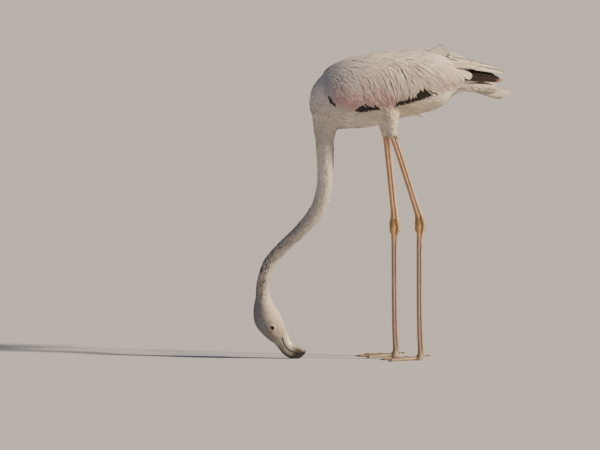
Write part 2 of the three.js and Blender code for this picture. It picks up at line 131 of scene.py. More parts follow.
LEGS = {  # side, thigh rows (x, z, radius), leg rows (x, z, radius fore and aft, half width)
    "left": (-1,
             [(4, 628, 30), (13, 597, 26.4), (18, 575, 20), (21.4, 557, 14), (25, 540, 9.8), (40, 495, 8.8)],
             [(21.4, 557, 9, 6), (25, 540, 8.8, 5.8), (40, 495, 8.8, 5.8), (57, 442, 8.6, 5.7),
              (76.4, 381, 8.6, 5.8), (86, 351, 10, 6.8), (91.6, 334, 15.2, 9.2), (91.2, 319, 13.4, 8.8),
              (90, 303, 9, 6.4), (88.6, 272, 7.8, 5.4), (88.6, 206, 7.6, 5.2), (88.8, 142, 7.6, 5.2),
              (90, 76, 7.8, 5.4), (92.4, 17, 8.2, 6), (93, -14, 8.2, 6)]),
    "right": (1,
              [(-3, 628, 30), (1, 598, 26.4), (5, 575, 20), (7, 554, 14), (9, 536, 9.8), (14, 492, 8.8)],
              [(7, 554, 9, 6), (9, 536, 8.8, 5.8), (14, 492, 8.8, 5.8), (19.4, 439, 8.6, 5.7),
               (26, 374, 8.6, 5.8), (29.4, 342, 10, 6.8), (31.4, 324, 15.2, 9.2), (31, 309, 13.4, 8.8),
               (30, 293, 9, 6.4), (29.2, 262, 7.8, 5.4), (29.4, 198, 7.6, 5.2), (29.8, 138, 7.6, 5.2),
               (31, 74, 7.8, 5.4), (33.4, 17, 8.2, 6), (34, -14, 8.2, 6)])}
LEG_ENDS, ANKLE_ROW = 13.15 / 14, 6  # they end inside the feet; the row at the ankle joint
ANKLE_KNOBS = {  # knobs of the joint and tendon ridge below: place from the joint, half sizes
    "knob_low": ((-7, 4.4, -17), (7.6, 4.2, 12.0)), "knob_high": ((3, 5.8, 3), (6.4, 3.6, 10.0)),
    "ridge": ((-5, 2.6, -33), (5.4, 3.6, 25.0))}
TOES = {"inner": (-27, 62, 8), "middle": (2, 80, 9), "outer": (30, 72, 8)}  # angle, length, claw
TOE_RADIUS, TOE_SET_FORWARD = 5.4, 9
HIND_RADIUS, HIND_LENGTH, HIND_SET_IN, HIND_HEIGHT = 2.7, 14, 1.5, 11
FOOT_HEIGHT, WEB_HALF = 22, 1.3
WING_EDGE = [  # lower edge of the folded wing: x, z
    (-152, 652), (-135, 629), (-109, 612), (-72, 606), (-18, 614), (35, 626),
    (78, 636), (114, 646), (150, 657), (190, 667), (214, 670), (230, 688)]
WING_FRONT = ([612, 629, 652, 684, 708, 740], [-108, -134, -151, -146, -132, -108])  # z, x
WING_TIP = 238


def run(rows):
    """A smooth run through a table of numbers, read at any shares t of its length."""
    k = np.array(rows, float)
    k = np.vstack([2 * k[0] - k[1], k, 2 * k[-1] - k[-2]])

    def at(t):
        s = np.clip(np.asarray(t, float), 0, 1) * (len(rows) - 1)
        i = np.minimum(s.astype(int), len(rows) - 2)
        f = (s - i)[..., None]
        a, b, c, d = k[i], k[i + 1], k[i + 2], k[i + 3]
        return 0.5 * (2 * b + (c - a) * f + (2 * a - 5 * b + 4 * c - d) * f ** 2 + (3 * b - a - 3 * c + d) * f ** 3)
    return at


def unit(v):
    """Vectors at length 1."""
    return v / np.maximum(np.linalg.norm(v, axis=-1, keepdims=True), 1e-9)


def hump(x, middle, width):
    """A smooth rise to 1 at the middle."""
    return np.exp(-((x - middle) / width) ** 2)


def full_turn(count):
    """Angles once round a ring, as one row."""
    return np.linspace(0, 2 * math.pi, count, endpoint=False)[None, :]


trunk_at, neck_at, head_at = run(TRUNK), run(NECK), run(HEAD)
wing_line = run(WING_EDGE)(np.linspace(0, 1, 60))


def trunk_ring(t):
    """Upright rings of the trunk: centre, upward way, sizes above, below and aside."""
    x, top, bottom, half = np.moveaxis(trunk_at(t), -1, 0)
    tall = (top - bottom) / 2
    return np.stack([x, 0 * x, (top + bottom) / 2], -1), UP + 0 * x[..., None], tall, tall, half


def along_ring(at, y=0.0):
    """Rings square to a line that lies in a plane of constant y."""
    def ring(t):
        t = np.asarray(t, float)
        now = at(t)
        ahead = unit(at(np.minimum(t + 0.004, 1))[..., :2] - at(np.maximum(t - 0.004, 0))[..., :2])
        over = np.stack([-ahead[..., 1], 0 * t, ahead[..., 0]], -1)
        centre = np.stack([now[..., 0], 0 * t + y, now[..., 1]], -1)
        sizes = list(np.moveaxis(now, -1, 0)[2:])
        above, below, half = {1: sizes * 3, 2: [sizes[0], sizes[0], sizes[-1]], 3: sizes}[len(sizes)]
        return centre, over, above, below, half
    return ring


def wing_cover(x, z):
    """1 well inside the folded wing as seen from the side, 0 outside it."""
    low = np.interp(x, wing_line[:, 0], wing_line[:, 1])
    front = np.interp(z, *WING_FRONT)
    inside = np.clip((z - low) / 9, 0, 1) * np.clip((x - front) / 9, 0, 1) * np.clip((WING_TIP - x) / 12, 0, 1)
    return inside * inside * (3 - 2 * inside)


def surface(ring, t, turn, inset, groove=0.0):
    """Points of a loft at shares t and turns round it, drawn in by an inset."""
    centre, over, above, below, half = ring(t)
    c, s = np.cos(turn), np.sin(turn)
    radius = np.where(s >= 0, above, below) - inset
    wide = (half - inset) * (1 - groove * hump(s, 0.14, 0.2))
    return centre + over * (radius * s)[..., None] + ASIDE * (wide * c)[..., None]


def mesh_piece(name, points, faces):
    """An object from points in millimetres and arrays of faces of like size."""
    data = bpy.data.meshes.new(name)
    flat = np.concatenate([f.ravel() for f in faces]).astype(np.int32)
    sizes = np.concatenate([np.full(len(f), f.shape[1]) for f in faces]).astype(np.int32)
    data.vertices.add(len(points))
    data.vertices.foreach_set("co", (np.asarray(points, float) * MM).astype(np.float32).ravel())
    data.loops.add(len(flat))
    data.loops.foreach_set("vertex_index", flat)
    data.polygons.add(len(sizes))
    data.polygons.foreach_set("loop_start", np.concatenate([[0], np.cumsum(sizes)[:-1]]).astype(np.int32))
    data.update(calc_edges=True)
    data.validate()
    made = bpy.data.objects.new(name, data)
    scene.collection.objects.link(made)
    return made


def tube_faces(rows, round_):
    """Quads of a closed tube whose rings follow each other, then its two end fans."""
    r = np.arange(rows - 1)[:, None] * round_
    c = np.arange(round_)[None, :]
    n = (c + 1) % round_
    quads = np.stack([r + c, r + n, r + round_ + n, r + round_ + c], -1).reshape(-1, 4)
    first, last = rows * round_, rows * round_ + 1
    base = (rows - 1) * round_
    c, n = c[0], n[0]
    fans = np.concatenate([np.stack([c * 0 + first, n, c], -1), np.stack([c * 0 + last, base + c, base + n], -1)])
    return quads, fans


def loft(name, rings, floor_flat=False):
    """A closed object over an array of rings (rows, round, xyz), facing outwards."""
    rows, round_ = rings.shape[:2]
    points = np.concatenate([rings.reshape(-1, 3), rings[:1].mean(1), rings[-1:].mean(1)])
    if floor_flat:
        points[:, 2] = np.maximum(points[:, 2], 0)
    quads, fans = tube_faces(rows, round_)
    tri = np.concatenate([quads[:, [0, 1, 2]], quads[:, [0, 2, 3]], fans])
    a, b, c = points[tri[:, 0]], points[tri[:, 1]], points[tri[:, 2]]
    if np.einsum("ij,ij->i", a, np.cross(b, c)).sum() < 0:
        quads, fans = quads[:, ::-1], fans[:, ::-1]
    return mesh_piece(name, points, [quads, fans])


def steps(rows, dome=(0.0, 0.0), span=(0.0, 1.0)):
    """Shares, sizes and pushes of rings: a plain run with domed ends where asked."""
    start, end = span
    bends = np.linspace(0, 1, 6)[1:-1] * math.pi / 2
    head = [(start, math.sin(a), -dome[0] * math.cos(a)) for a in bends] if dome[0] else []
    body = [(start + (end - start) * k / rows, 1.0, 0.0) for k in range(rows + 1)]
    tail = [(end, math.sin(a), dome[1] * math.cos(a)) for a in bends[::-1]] if dome[1] else []
    return np.array(head + body + tail).T


def ringed(ring, inset, rows, round_, dome=(0.0, 0.0), span=(0.0, 1.0), groove=0.0):
    """Rings of a loft with domed ends."""
    t, size, push = steps(rows, dome, span)
    t, turn = np.broadcast_arrays(t[:, None], full_turn(round_))
    points = surface(ring, t, turn, inset(t, turn) if callable(inset) else inset, groove)
    centre, over, above, below, _ = ring(t)
    points = centre + (points - centre) * size[:, None, None]
    return points - np.cross(over, ASIDE) * (push[:, None] * (above + below) / 2)[..., None]


def toe_ways(heading):
    """Level unit vectors along a toe and square to it."""
    c, s = math.cos(heading), math.sin(heading)
    return np.array([c, s, 0]), np.array([-s, c, 0])


def pick(*pieces):
    """Select these objects alone and work on the first."""
    bpy.ops.object.select_all(action="DESELECT")
    for piece in pieces:
        piece.select_set(True)
    bpy.context.view_layer.objects.active = pieces[0]


def fuse(name, parts, voxel, ease, ease_rounds):
    """Join parts, grow them into one closed skin and ease it."""
    pick(*parts)
    bpy.ops.object.join()
    whole = bpy.context.object
    whole.name = name
    grow = whole.modifiers.new("grow", "REMESH")
    grow.mode = "VOXEL"
    grow.voxel_size = voxel
    bpy.ops.object.modifier_apply(modifier="grow")
    soften = whole.modifiers.new("soften", "SMOOTH")
    soften.factor = ease
    soften.iterations = ease_rounds
    bpy.ops.object.modifier_apply(modifier="soften")
    return whole


def ball(name, centre, size):
    """A closed ball, its size given along x, y and z in millimetres."""
    bpy.ops.object.select_all(action="DESELECT")
    bpy.ops.mesh.primitive_uv_sphere_add(segments=48, ring_count=32, radius=1.0, location=np.array(centre) * MM)
    made = bpy.context.object
    made.name = name
    made.scale = np.array(size) * MM
    bpy.ops.object.transform_apply(location=True, rotation=True, scale=True)
    return made


neck_ring, head_ring = along_ring(neck_at), along_ring(head_at)
eyes = {side: sum(np.array(c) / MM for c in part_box(f"eye_{side}")) / 2 for side in ("left", "right")}
EYE_RADIUS = 6.6


def trunk_inset(t, turn):
    """Deep under the body feathers, out at the outline under the wings."""
    p = surface(trunk_ring, t, turn, 0.0)
    return 5.0 - 5.5 * wing_cover(p[..., 0], p[..., 2])


def neck_inset(t, turn):
    return 3.4 + 0.8 * (t < 0.2)


def head_inset(t, turn):
    return np.interp(t, [0.2, 0.6, 1], [3.0, 1.8, 0.5])


def thigh_inset(t, turn):
    return 3.6 * np.clip(1.15 - t, 0, 1)


def leg_inset(t, turn):
    """Close to the outline, but flat in front of the ankle joint."""
    return 0.15 + 3.2 * hump(t * 14, 6.1, 0.7) * np.clip(np.sin(turn), 0, 1)


body_parts = [loft("skin_trunk", ringed(trunk_ring, trunk_inset, 70, 64, dome=(0.15, 0.35))),
              loft("skin_neck", ringed(neck_ring, neck_inset, 90, 32, span=(0, NECK_ENDS)))]
leg_parts = []
for name, (side, thigh_rows, leg_rows) in LEGS.items():
    y = side * LEG_SPREAD
    thigh_ring, leg_ring = along_ring(run(thigh_rows), y), along_ring(run(leg_rows), y)
    flat_ring = lambda t, ring=thigh_ring: (*ring(t)[:4], ring(t)[4] * 0.86)
    body_parts.append(loft(f"skin_thigh_{name}", ringed(flat_ring, thigh_inset, 30, 28,
                                                        dome=(0.5, 0.0), span=(0, 0.8))))
    leg_parts.append(loft(f"skin_leg_{name}", ringed(leg_ring, leg_inset, 150, 28, span=(0, LEG_ENDS), groove=0.46)))
    joint_x, joint_z = leg_rows[ANKLE_ROW][:2]
    for out in (-1, 1):
        for knob, ((ahead, aside, over), size) in ANKLE_KNOBS.items():
            leg_parts.append(ball(knob, (joint_x + ahead, y + out * aside, joint_z + over), size))
    ankle = leg_rows[-2][0]
    root = np.array([ankle - TOE_SET_FORWARD, y, 0.0])
    u, turn = np.linspace(0, 1, 8)[:, None], full_turn(24)
    spread = 6.6 + 4.4 * u ** 1.5
    leg_parts.append(loft(f"skin_foot_{name}", np.stack([
        ankle - 4.5 * u + spread * np.cos(turn), y + (4.6 + 6.4 * u) * np.sin(turn),
        FOOT_HEIGHT - FOOT_HEIGHT * u + 0 * turn], -1), True))
    toes = {}
    for toe, (angle, length, claw) in TOES.items():
        ahead, across = toe_ways(math.pi - side * deg(angle))
        t, size, push = (v[:, None] for v in steps(36, (0.5, 0.5)))
        pads = 1 + 0.08 * np.cos(t * 4 * math.pi) - 0.03 * hump(t % 0.25, 0.125, 0.02)
        r = TOE_RADIUS * (1 - 0.42 * t) * pads
        turn = full_turn(20)
        centre = root + ahead * (t * length + push * r)[..., None] + UP * (r * 0.72)[..., None]
        leg_parts.append(loft(f"skin_toe_{toe}_{name}", centre + across * (size * r * np.cos(turn))[..., None]
                              + UP * (size * r * 0.92 * np.sin(turn))[..., None], True))
        toes[toe] = (ahead, length)
    for one, two in (("inner", "middle"), ("middle", "outer")):
        w = np.linspace(0, 1, 13)[:, None]
        s = np.linspace(0.02, 1, 12)[None, :]
        reach = (0.86 - 0.24 * 4 * w * (1 - w)) * s
        a, b = (root + ahead * (reach * length)[..., None] for ahead, length in (toes[one], toes[two]))
        sheet = a * (1 - w[..., None]) + b * w[..., None]
        sheet[..., 2] = 2.6 - 1.0 * (4 * w * (1 - w)) + 0.5 * (1 - s)
        thick = np.concatenate([sheet + UP * WEB_HALF, (sheet - UP * WEB_HALF)[:, ::-1]], 1)
        leg_parts.append(loft(f"skin_web_{one}_{name}", thick))
    t, size, push = (v[:, None] for v in steps(14, (0.5, 0.6)))
    r = HIND_RADIUS * (1 - 0.4 * t)
    turn = full_turn(16)
    leg_parts.append(loft(f"skin_hallux_{name}", np.stack([
        ankle + 3 + HIND_LENGTH * t + push * r + 0 * turn, y - side * HIND_SET_IN + size * r * np.cos(turn),
        HIND_HEIGHT - 1.2 * t + size * r * np.sin(turn)], -1)))

# The lids: a bulge over each eyeball, a raised rim, and an oval opening cut through.
LID_RADIUS, EYE_ROOM, OPENING = 7.9, 6.72, (5.3, 4.6)
RIM_RADIUS, RIM_HALF, RIM_OUT, OPENING_OUT, OPENING_DEPTH = 5.6, 0.8, 5.9, 9, 12
head_parts = [loft("skin_head", ringed(head_ring, head_inset, 60, 44, dome=(0.0, 0.3), span=(0.12, 1)))]
head_parts += [ball(f"lid_{side}", centre, (LID_RADIUS,) * 3) for side, centre in eyes.items()]
skin = fuse("skin", body_parts, 3.4 * MM, 0.5, 12)
skin_head = fuse("skin_head", head_parts, 1.25 * MM, 0.5, 6)
skin_legs = fuse("skin_legs", leg_parts, 1.3 * MM, 0.5, 2)


def bool_apply(target, tool, operation):
    """Join or cut a closed mesh by another, then drop the tool."""
    bpy.context.view_layer.objects.active = target
    cut = target.modifiers.new("cut", "BOOLEAN")
    cut.operation = operation
    cut.object = tool
    cut.solver = "MANIFOLD"
    bpy.ops.object.modifier_apply(modifier="cut")
    bpy.data.objects.remove(tool)


BILL_WAY = unit(np.array([17.5, 0, -23.0]))  # from the eye along the bill
for side, centre in eyes.items():
    out = -1.0 if side == "left" else 1.0
    bpy.ops.object.select_all(action="DESELECT")
    bpy.ops.mesh.primitive_torus_add(location=(centre + [0, out * RIM_OUT, 0]) * MM, rotation=(deg(90), 0, 0),
                                     major_radius=RIM_RADIUS * MM, minor_radius=RIM_HALF * MM,
                                     major_segments=56, minor_segments=12)
    rim = bpy.context.object
    bpy.ops.object.transform_apply(location=True, rotation=True, scale=True)
    bool_apply(skin_head, rim, "UNION")
    bool_apply(skin_head, ball("eye_room", centre, (EYE_ROOM,) * 3), "DIFFERENCE")
    bpy.ops.object.select_all(action="DESELECT")
    bpy.ops.mesh.primitive_cylinder_add(vertices=56, radius=1, depth=OPENING_DEPTH * MM,
                                        location=(centre + [0, out * OPENING_OUT, 0]) * MM)
    opening = bpy.context.object
    opening.scale = (OPENING[0] * MM, OPENING[1] * MM, 1)
    opening.rotation_euler = (deg(90), 0, 0)
    bpy.ops.object.transform_apply(location=False, rotation=True, scale=True)
    bpy.ops.object.transform_apply(location=True, rotation=True, scale=True)
    for corner in opening.data.vertices:  # its long axis follows the bill
        away = np.array(corner.co) / MM - centre
        along, across = away[0], away[2]
        corner.co = Vector((centre + [along * BILL_WAY[0] - across * BILL_WAY[2], away[1],
                                      along * BILL_WAY[2] + across * BILL_WAY[0]]) * MM)
    bool_apply(skin_head, opening, "DIFFERENCE")
bool_apply(skin, skin_head, "UNION")
bool_apply(skin, skin_legs, "UNION")

# The plumage of an immature bird: white, cream on the belly, a pink wash low on the
# wing, grey-brown streaks up the back of the neck to a grey crown, and a pale throat.
# The skin carries the markings of the feathers over it; the legs are tan.
WHITE, CREAM, PINK = linear("#e9e3da"), linear("#dfd0ae"), linear("#c99494")
NECK_GREY, STREAK, CROWN, THROAT = linear("#bdb7b2"), linear("#5d5550"), linear("#8d8f94"), linear("#eadfcd")
LORES, EYE_RIM = linear("#b9a598"), linear("#a18e80")
DUSK = linear("#b5a696")  # the brownish wash of a young bird's wing; also used as painted shade on the underparts and on the tuft's lower tier
SKYLIT_SHADE_GREY = linear("#a9afb8")  # painted cool shade of the sky on the shoulder and breast, not a plumage colour
LEG_TAN, ANKLE, SHANK, FOOT = linear("#bb9a7c"), linear("#a38555"), linear("#a48c80"), linear("#9a8a74")
ANKLE_HEIGHTS = (327, 317)  # left, right
LEG_SKIN_TOP, SCALES_TOP = 553, 549
PINK_WASH = [  # strength, x, z, half width, half height
    (0.9, -90, 644, 46, 32), (0.85, -28, 646, 44, 26), (1, 16, 642, 24, 18), (1, 137, 678, 24, 15)]
spine = np.concatenate([neck_at(np.linspace(0, NECK_JOINS, 130))[:, :3], head_at(np.linspace(0.2, 1, 60))[1:, :3]])


def along_spine(p):
    """Share of the radius off the line of neck and head, -1 at the crown side and 1
    at the throat side, and the way ahead at the nearest place on it."""
    line = spine[:, :2]
    spot = np.concatenate([
        np.argmin(((part[:, None, ::2] - line[None]) ** 2).sum(-1), axis=1)
        for part in np.array_split(p.reshape(-1, 3), max(1, p.size // 30000))])
    spot = np.clip(spot, 1, len(line) - 2)
    ahead = unit(line[spot + 1] - line[spot - 1])
    off = p.reshape(-1, 3)[:, ::2] - line[spot]
    share = (ahead[:, 0] * off[:, 1] - ahead[:, 1] * off[:, 0]) / spine[spot, 2]
    return share.reshape(p.shape[:-1]), ahead


def speckle(p, size, seed=0):
    """Smooth value noise, 0 to 1, over points in millimetres."""
    q = p / size + seed * 17.3
    i = np.floor(q)
    f = q - i
    f = f * f * (3 - 2 * f)
    total = 0
    for corner in np.ndindex(2, 2, 2):
        h = np.sin((i + corner) @ [127.1, 311.7, 74.7]) * 43758.5453
        total = total + np.prod(np.where(corner, f, 1 - f), axis=-1) * (h - np.floor(h))
    return total


def blend(a, b, share):
    """From colour a to colour b by a share for each point."""
    return np.asarray(a) * (1 - share[..., None]) + np.asarray(b) * share[..., None]


def ramp(x, low, high):
    """A smooth step from 0 at low to 1 at high."""
    s = np.clip((x - low) / (high - low), 0, 1)
    return s * s * (3 - 2 * s)


def spot_at(p, x, z, wide, tall):
    """1 at a place on the side of the bird, fading round it."""
    return np.exp(-((p[..., 0] - x) / wide) ** 2 - ((p[..., 2] - z) / tall) ** 2)


def markings(p):
    """Colour of the plumage at points in millimetres, linear RGB, with painted shade on the shoulder, breast and belly.
    """
    x, z = p[..., 0], p[..., 2]
    thigh = ramp(592 - z, 0, 16) * ramp(x, -34, -20)
    tone = blend(WHITE, CREAM, ramp(650 - z, 0, 60) * ramp(x, -130, 60) * (0.9 - 0.75 * thigh))
    under = ramp(638 - z, 0, 40) * ramp(z, 430, 520) * (1 - thigh)  # a dingy wash on breast and belly: partly a young bird's own wash, partly painted shade on the underparts
    tone = blend(tone, DUSK, under * (0.1 + 0.45 * speckle(p, 14.0, 5)))
    dusk = wing_cover(x, z) * ramp(-x, -215, -120) * ramp(-z, -735, -690) * (0.45 + 0.3 * speckle(p, 30.0, 8))
    tone = blend(tone, DUSK, dusk * (np.abs(p[..., 1]) > 14))
    # painted shade: the cool grey of skylight on the shoulder and breast, which face away from the key light
    tone = blend(tone, SKYLIT_SHADE_GREY, 0.62 * spot_at(p, -125, 690, 60, 60))
    wash = sum(strength * spot_at(p, *spot) for strength, *spot in PINK_WASH)
    tone = blend(tone, PINK, np.clip(wash * (0.2 + 0.75 * speckle(p, 11, 1)), 0, 0.75))
    throat = along_spine(p)[0]
    tone = blend(tone, NECK_GREY, ramp(440 - z, 0, 160) * (0.65 - 0.35 * throat))
    fine = speckle(p * [1, 1, 0.5], 2.4, 2) * 0.75 + speckle(p * [1, 1, 0.5], 6.0, 3) * 0.25
    streaks = ramp(fine + 0.1 * -throat, 0.5, 0.72) * ramp(372 - z, 0, 150) * ramp(z, 86, 140)
    tone = blend(tone, STREAK, np.clip(streaks * (0.58 - 0.36 * throat), 0, 0.8))
    tone = tone * (1 + 0.34 * ramp(400 - z, 0, 120) * (speckle(p * [1, 1, 0.5], 1.9, 9) - 0.5))[..., None]
    on_head = ramp(170 - z, 0, 45)
    tone = blend(tone, CROWN, on_head * ramp(-throat, -0.2, 0.45) * (0.6 + 0.4 * speckle(p * [1, 1, 0.6], 2.4, 4)))
    tone = blend(tone, THROAT, on_head * ramp(throat, -0.1, 0.5) * 0.85)
    return blend(tone, DUSK, spot_at(p, -250, 54, 24, 22) * (0.15 + 0.75 * speckle(p, 5.0, 6)))


def bare_face(p):
    """1 on the bare skin of the eye ring and the lores, 0 on feathered skin."""
    bare = 0
    for centre in eyes.values():
        away = p - centre
        reach = np.clip(away @ BILL_WAY, 0, 27)
        off = np.linalg.norm(away - BILL_WAY * reach[..., None], axis=-1)
        near_side = np.abs(away[..., 1]) < 14
        bare = np.maximum(bare, (1 - ramp(off, 6.9 - 0.06 * reach, 8.6 - 0.06 * reach)) * near_side)
    return bare


def read_rows(items, kind):
    """One xyz value of every corner or face of a mesh."""
    values = np.empty(len(items) * 3, np.float32)
    items.foreach_get(kind, values)
    return values.reshape(-1, 3)


def paint_tone(piece, colours):
    """Give every corner of a piece its own colour, linear RGB."""
    paint = piece.data.color_attributes.new("Tone", "FLOAT_COLOR", "POINT")
    paint.data.foreach_set("color", np.c_[colours, np.ones(len(colours))].astype(np.float32).ravel())


def by_legs(p):
    """True for points that aren't on the neck or the head."""
    return (p[:, 0] > -70) & (np.abs(p[:, 1]) > 8)


corners = read_rows(skin.data.vertices, "co").astype(float) / MM
facing = read_rows(skin.data.vertices, "normal")
x, y, z = corners.T
on_leg = ramp(LEG_SKIN_TOP - z, 0, 9) * by_legs(corners)
eye_ring = np.clip(1 - np.min([np.linalg.norm(corners - c, axis=1) for c in eyes.values()], axis=0) / 8.6, 0, 1)
tone = blend(markings(corners) * 0.92, LORES, bare_face(corners))
tone = blend(tone, EYE_RIM, ramp(eye_ring, 0.0, 0.14))
joint = np.where(y < 0, *ANKLE_HEIGHTS)
leg = blend(LEG_TAN, SHANK, ramp(joint - z, 0, 60))
leg = blend(leg, ANKLE, hump(z, joint, 27) * 0.85)
leg = blend(leg, FOOT, ramp(60 - z, 0, 55) * 0.8)
for side, _, leg_rows in LEGS.values():  # painted highlight down the back of the leg, painted shade in the groove before it, and a fainter painted highlight down the front
    down = np.array(leg_rows)[::-1]
    aft = (x - np.interp(z, down[:, 1], down[:, 0])) / np.interp(z, down[:, 1], down[:, 2])
    line = 0.34 * hump(aft, 0.66, 0.2) - 0.3 * hump(aft, 0.16, 0.14) + 0.14 * hump(aft, -0.5, 0.2)
    leg = leg * (1 + line * (y * side > 0) * ramp(z, 14, 40))[:, None]
leg = leg * (0.84 + 0.3 * speckle(corners * [1, 1, 0.4], 4, 5))[:, None]
tone = blend(tone, leg, on_leg)
paint_tone(skin, tone)
shields = skin.data.attributes.new("Shields", "FLOAT", "POINT")
shields.data.foreach_set("value", (ramp(-facing[:, 0], 0.35, 0.75) * (z > 20)).astype(np.float32))
skin.data.polygons.foreach_set("use_smooth", np.ones(len(skin.data.polygons), bool))


def new_stuff(name, roughness, ior, **sockets):
    """A material with its plain numbers set on the shader's own sockets."""
    stuff = bpy.data.materials.new(name)
    stuff.use_nodes = True
    out = stuff.node_tree.nodes["Principled BSDF"]
    out.inputs["Roughness"].default_value = roughness
    out.inputs["IOR"].default_value = ior
    for key, value in sockets.items():
        out.inputs[key.replace("_", " ")].default_value = value
    return stuff, stuff.node_tree, out


def tinted(tree, out, fade, height, strength, depth):
    """Shade a piece's own colours by a pattern, and raise the pattern as fine relief."""
    tone = node(tree, "ShaderNodeAttribute", {"attribute_name": "Tone"})
    colour = node(tree, "ShaderNodeVectorMath", {"operation": "SCALE"}, {0: tone.outputs["Color"], "Scale": fade})
    bump = node(tree, "ShaderNodeBump", links={"Height": height}, Strength=strength, Distance=depth * MM)
    tree.links.new(colour.outputs[0], out.inputs["Base Color"])
    tree.links.new(bump.outputs[0], out.inputs["Normal"])


# Down-covered skin: matt, pale, finely tufted.
down_skin, tree, out = new_stuff("down_covered_skin", 0.85, 1.5, Specular_IOR_Level=0.2)
place = node(tree, "ShaderNodeTexCoord")
fluff = node(tree, "ShaderNodeTexNoise", links={"Vector": place.outputs["Object"]}, Scale=420.0, Detail=3.0)
fade = node(tree, "ShaderNodeMath", {"operation": "MULTIPLY_ADD"}, {0: fluff.outputs["Fac"]}, i1=0.3, i2=0.82)
tinted(tree, out, fade.outputs[0], fluff.outputs["Fac"], 0.5, 0.4)

# Leg skin: horny plates, broad shields down the front and small six-sided scales
# elsewhere, waxy and a little shiny.
SHIELD_DEPTH = 3.6
leg_skin, tree, out = new_stuff("scaled_leg_skin", 0.46, 1.5, Subsurface_Weight=0.06, Subsurface_Scale=1.5 * MM)
front = node(tree, "ShaderNodeAttribute", {"attribute_name": "Shields"})
place = node(tree, "ShaderNodeTexCoord")
squat = node(tree, "ShaderNodeMapping", links={"Vector": place.outputs["Object"]}, Scale=(1.0, 1.0, 0.72))
scales = node(tree, "ShaderNodeTexVoronoi", {"feature": "DISTANCE_TO_EDGE"}, {"Vector": squat.outputs[0]}, Scale=620.0)
plates = node(tree, "ShaderNodeMapRange", links={"Value": scales.outputs["Distance"]}, From_Max=0.16)
upright = node(tree, "ShaderNodeSeparateXYZ", links={"Vector": place.outputs["Object"]})
beat = node(tree, "ShaderNodeMath", {"operation": "MULTIPLY"}, {0: upright.outputs["Z"]}, i1=1 / (SHIELD_DEPTH * MM))
saw = node(tree, "ShaderNodeMath", {"operation": "PINGPONG"}, {0: beat.outputs[0]}, i1=0.5)
bands = node(tree, "ShaderNodeMapRange", links={"Value": saw.outputs[0]}, From_Max=0.14)
relief = node(tree, "ShaderNodeMix", {"data_type": "FLOAT"},
              {"Factor": front.outputs["Fac"], "A": plates.outputs[0], "B": bands.outputs[0]})
grime = node(tree, "ShaderNodeTexNoise", links={"Vector": squat.outputs[0]}, Scale=130.0, Detail=4.0)
seams = node(tree, "ShaderNodeMath", {"operation": "MULTIPLY_ADD"}, {0: relief.outputs[0]}, i1=0.12, i2=0.7)
fade = node(tree, "ShaderNodeMath", {"operation": "MULTIPLY_ADD"},
            {0: grime.outputs["Fac"], 2: seams.outputs[0]}, i1=0.36)
tinted(tree, out, fade.outputs[0], relief.outputs[0], 0.6, 0.22)

# Bare skin of the face: pinkish grey, thin, finely folded round the eye.
face_skin, tree, out = new_stuff("bare_face_skin", 0.5, 1.42, Subsurface_Weight=0.1, Subsurface_Scale=1.0 * MM)
place = node(tree, "ShaderNodeTexCoord")
folds = node(tree, "ShaderNodeTexVoronoi", {"feature": "DISTANCE_TO_EDGE"},
             {"Vector": place.outputs["Object"]}, Scale=1900.0)
creases = node(tree, "ShaderNodeMapRange", links={"Value": folds.outputs["Distance"]}, From_Max=0.2)
# painted shade: the creases of the folds are a little darker
fade = node(tree, "ShaderNodeMath", {"operation": "MULTIPLY_ADD"}, {0: creases.outputs[0]}, i1=0.1, i2=0.92)
tinted(tree, out, fade.outputs[0], creases.outputs[0], 0.5, 0.15)

skin.data.materials.clear()
for stuff in (down_skin, leg_skin, face_skin):
    skin.data.materials.append(stuff)
middles = read_rows(skin.data.polygons, "center").astype(float) / MM
which = np.where((middles[:, 2] < SCALES_TOP) & by_legs(middles), 1, np.where(bare_face(middles) > 0.5, 2, 0))
skin.data.polygons.foreach_set("material_index", which.astype(np.int32))
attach(skin, "root")
flesh = [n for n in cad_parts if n.startswith((
    "trunk", "neck_", "head", "thigh_", "shin_", "hock_", "tarsus_", "foot_", "toe_", "web_"))]
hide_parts(*flesh)

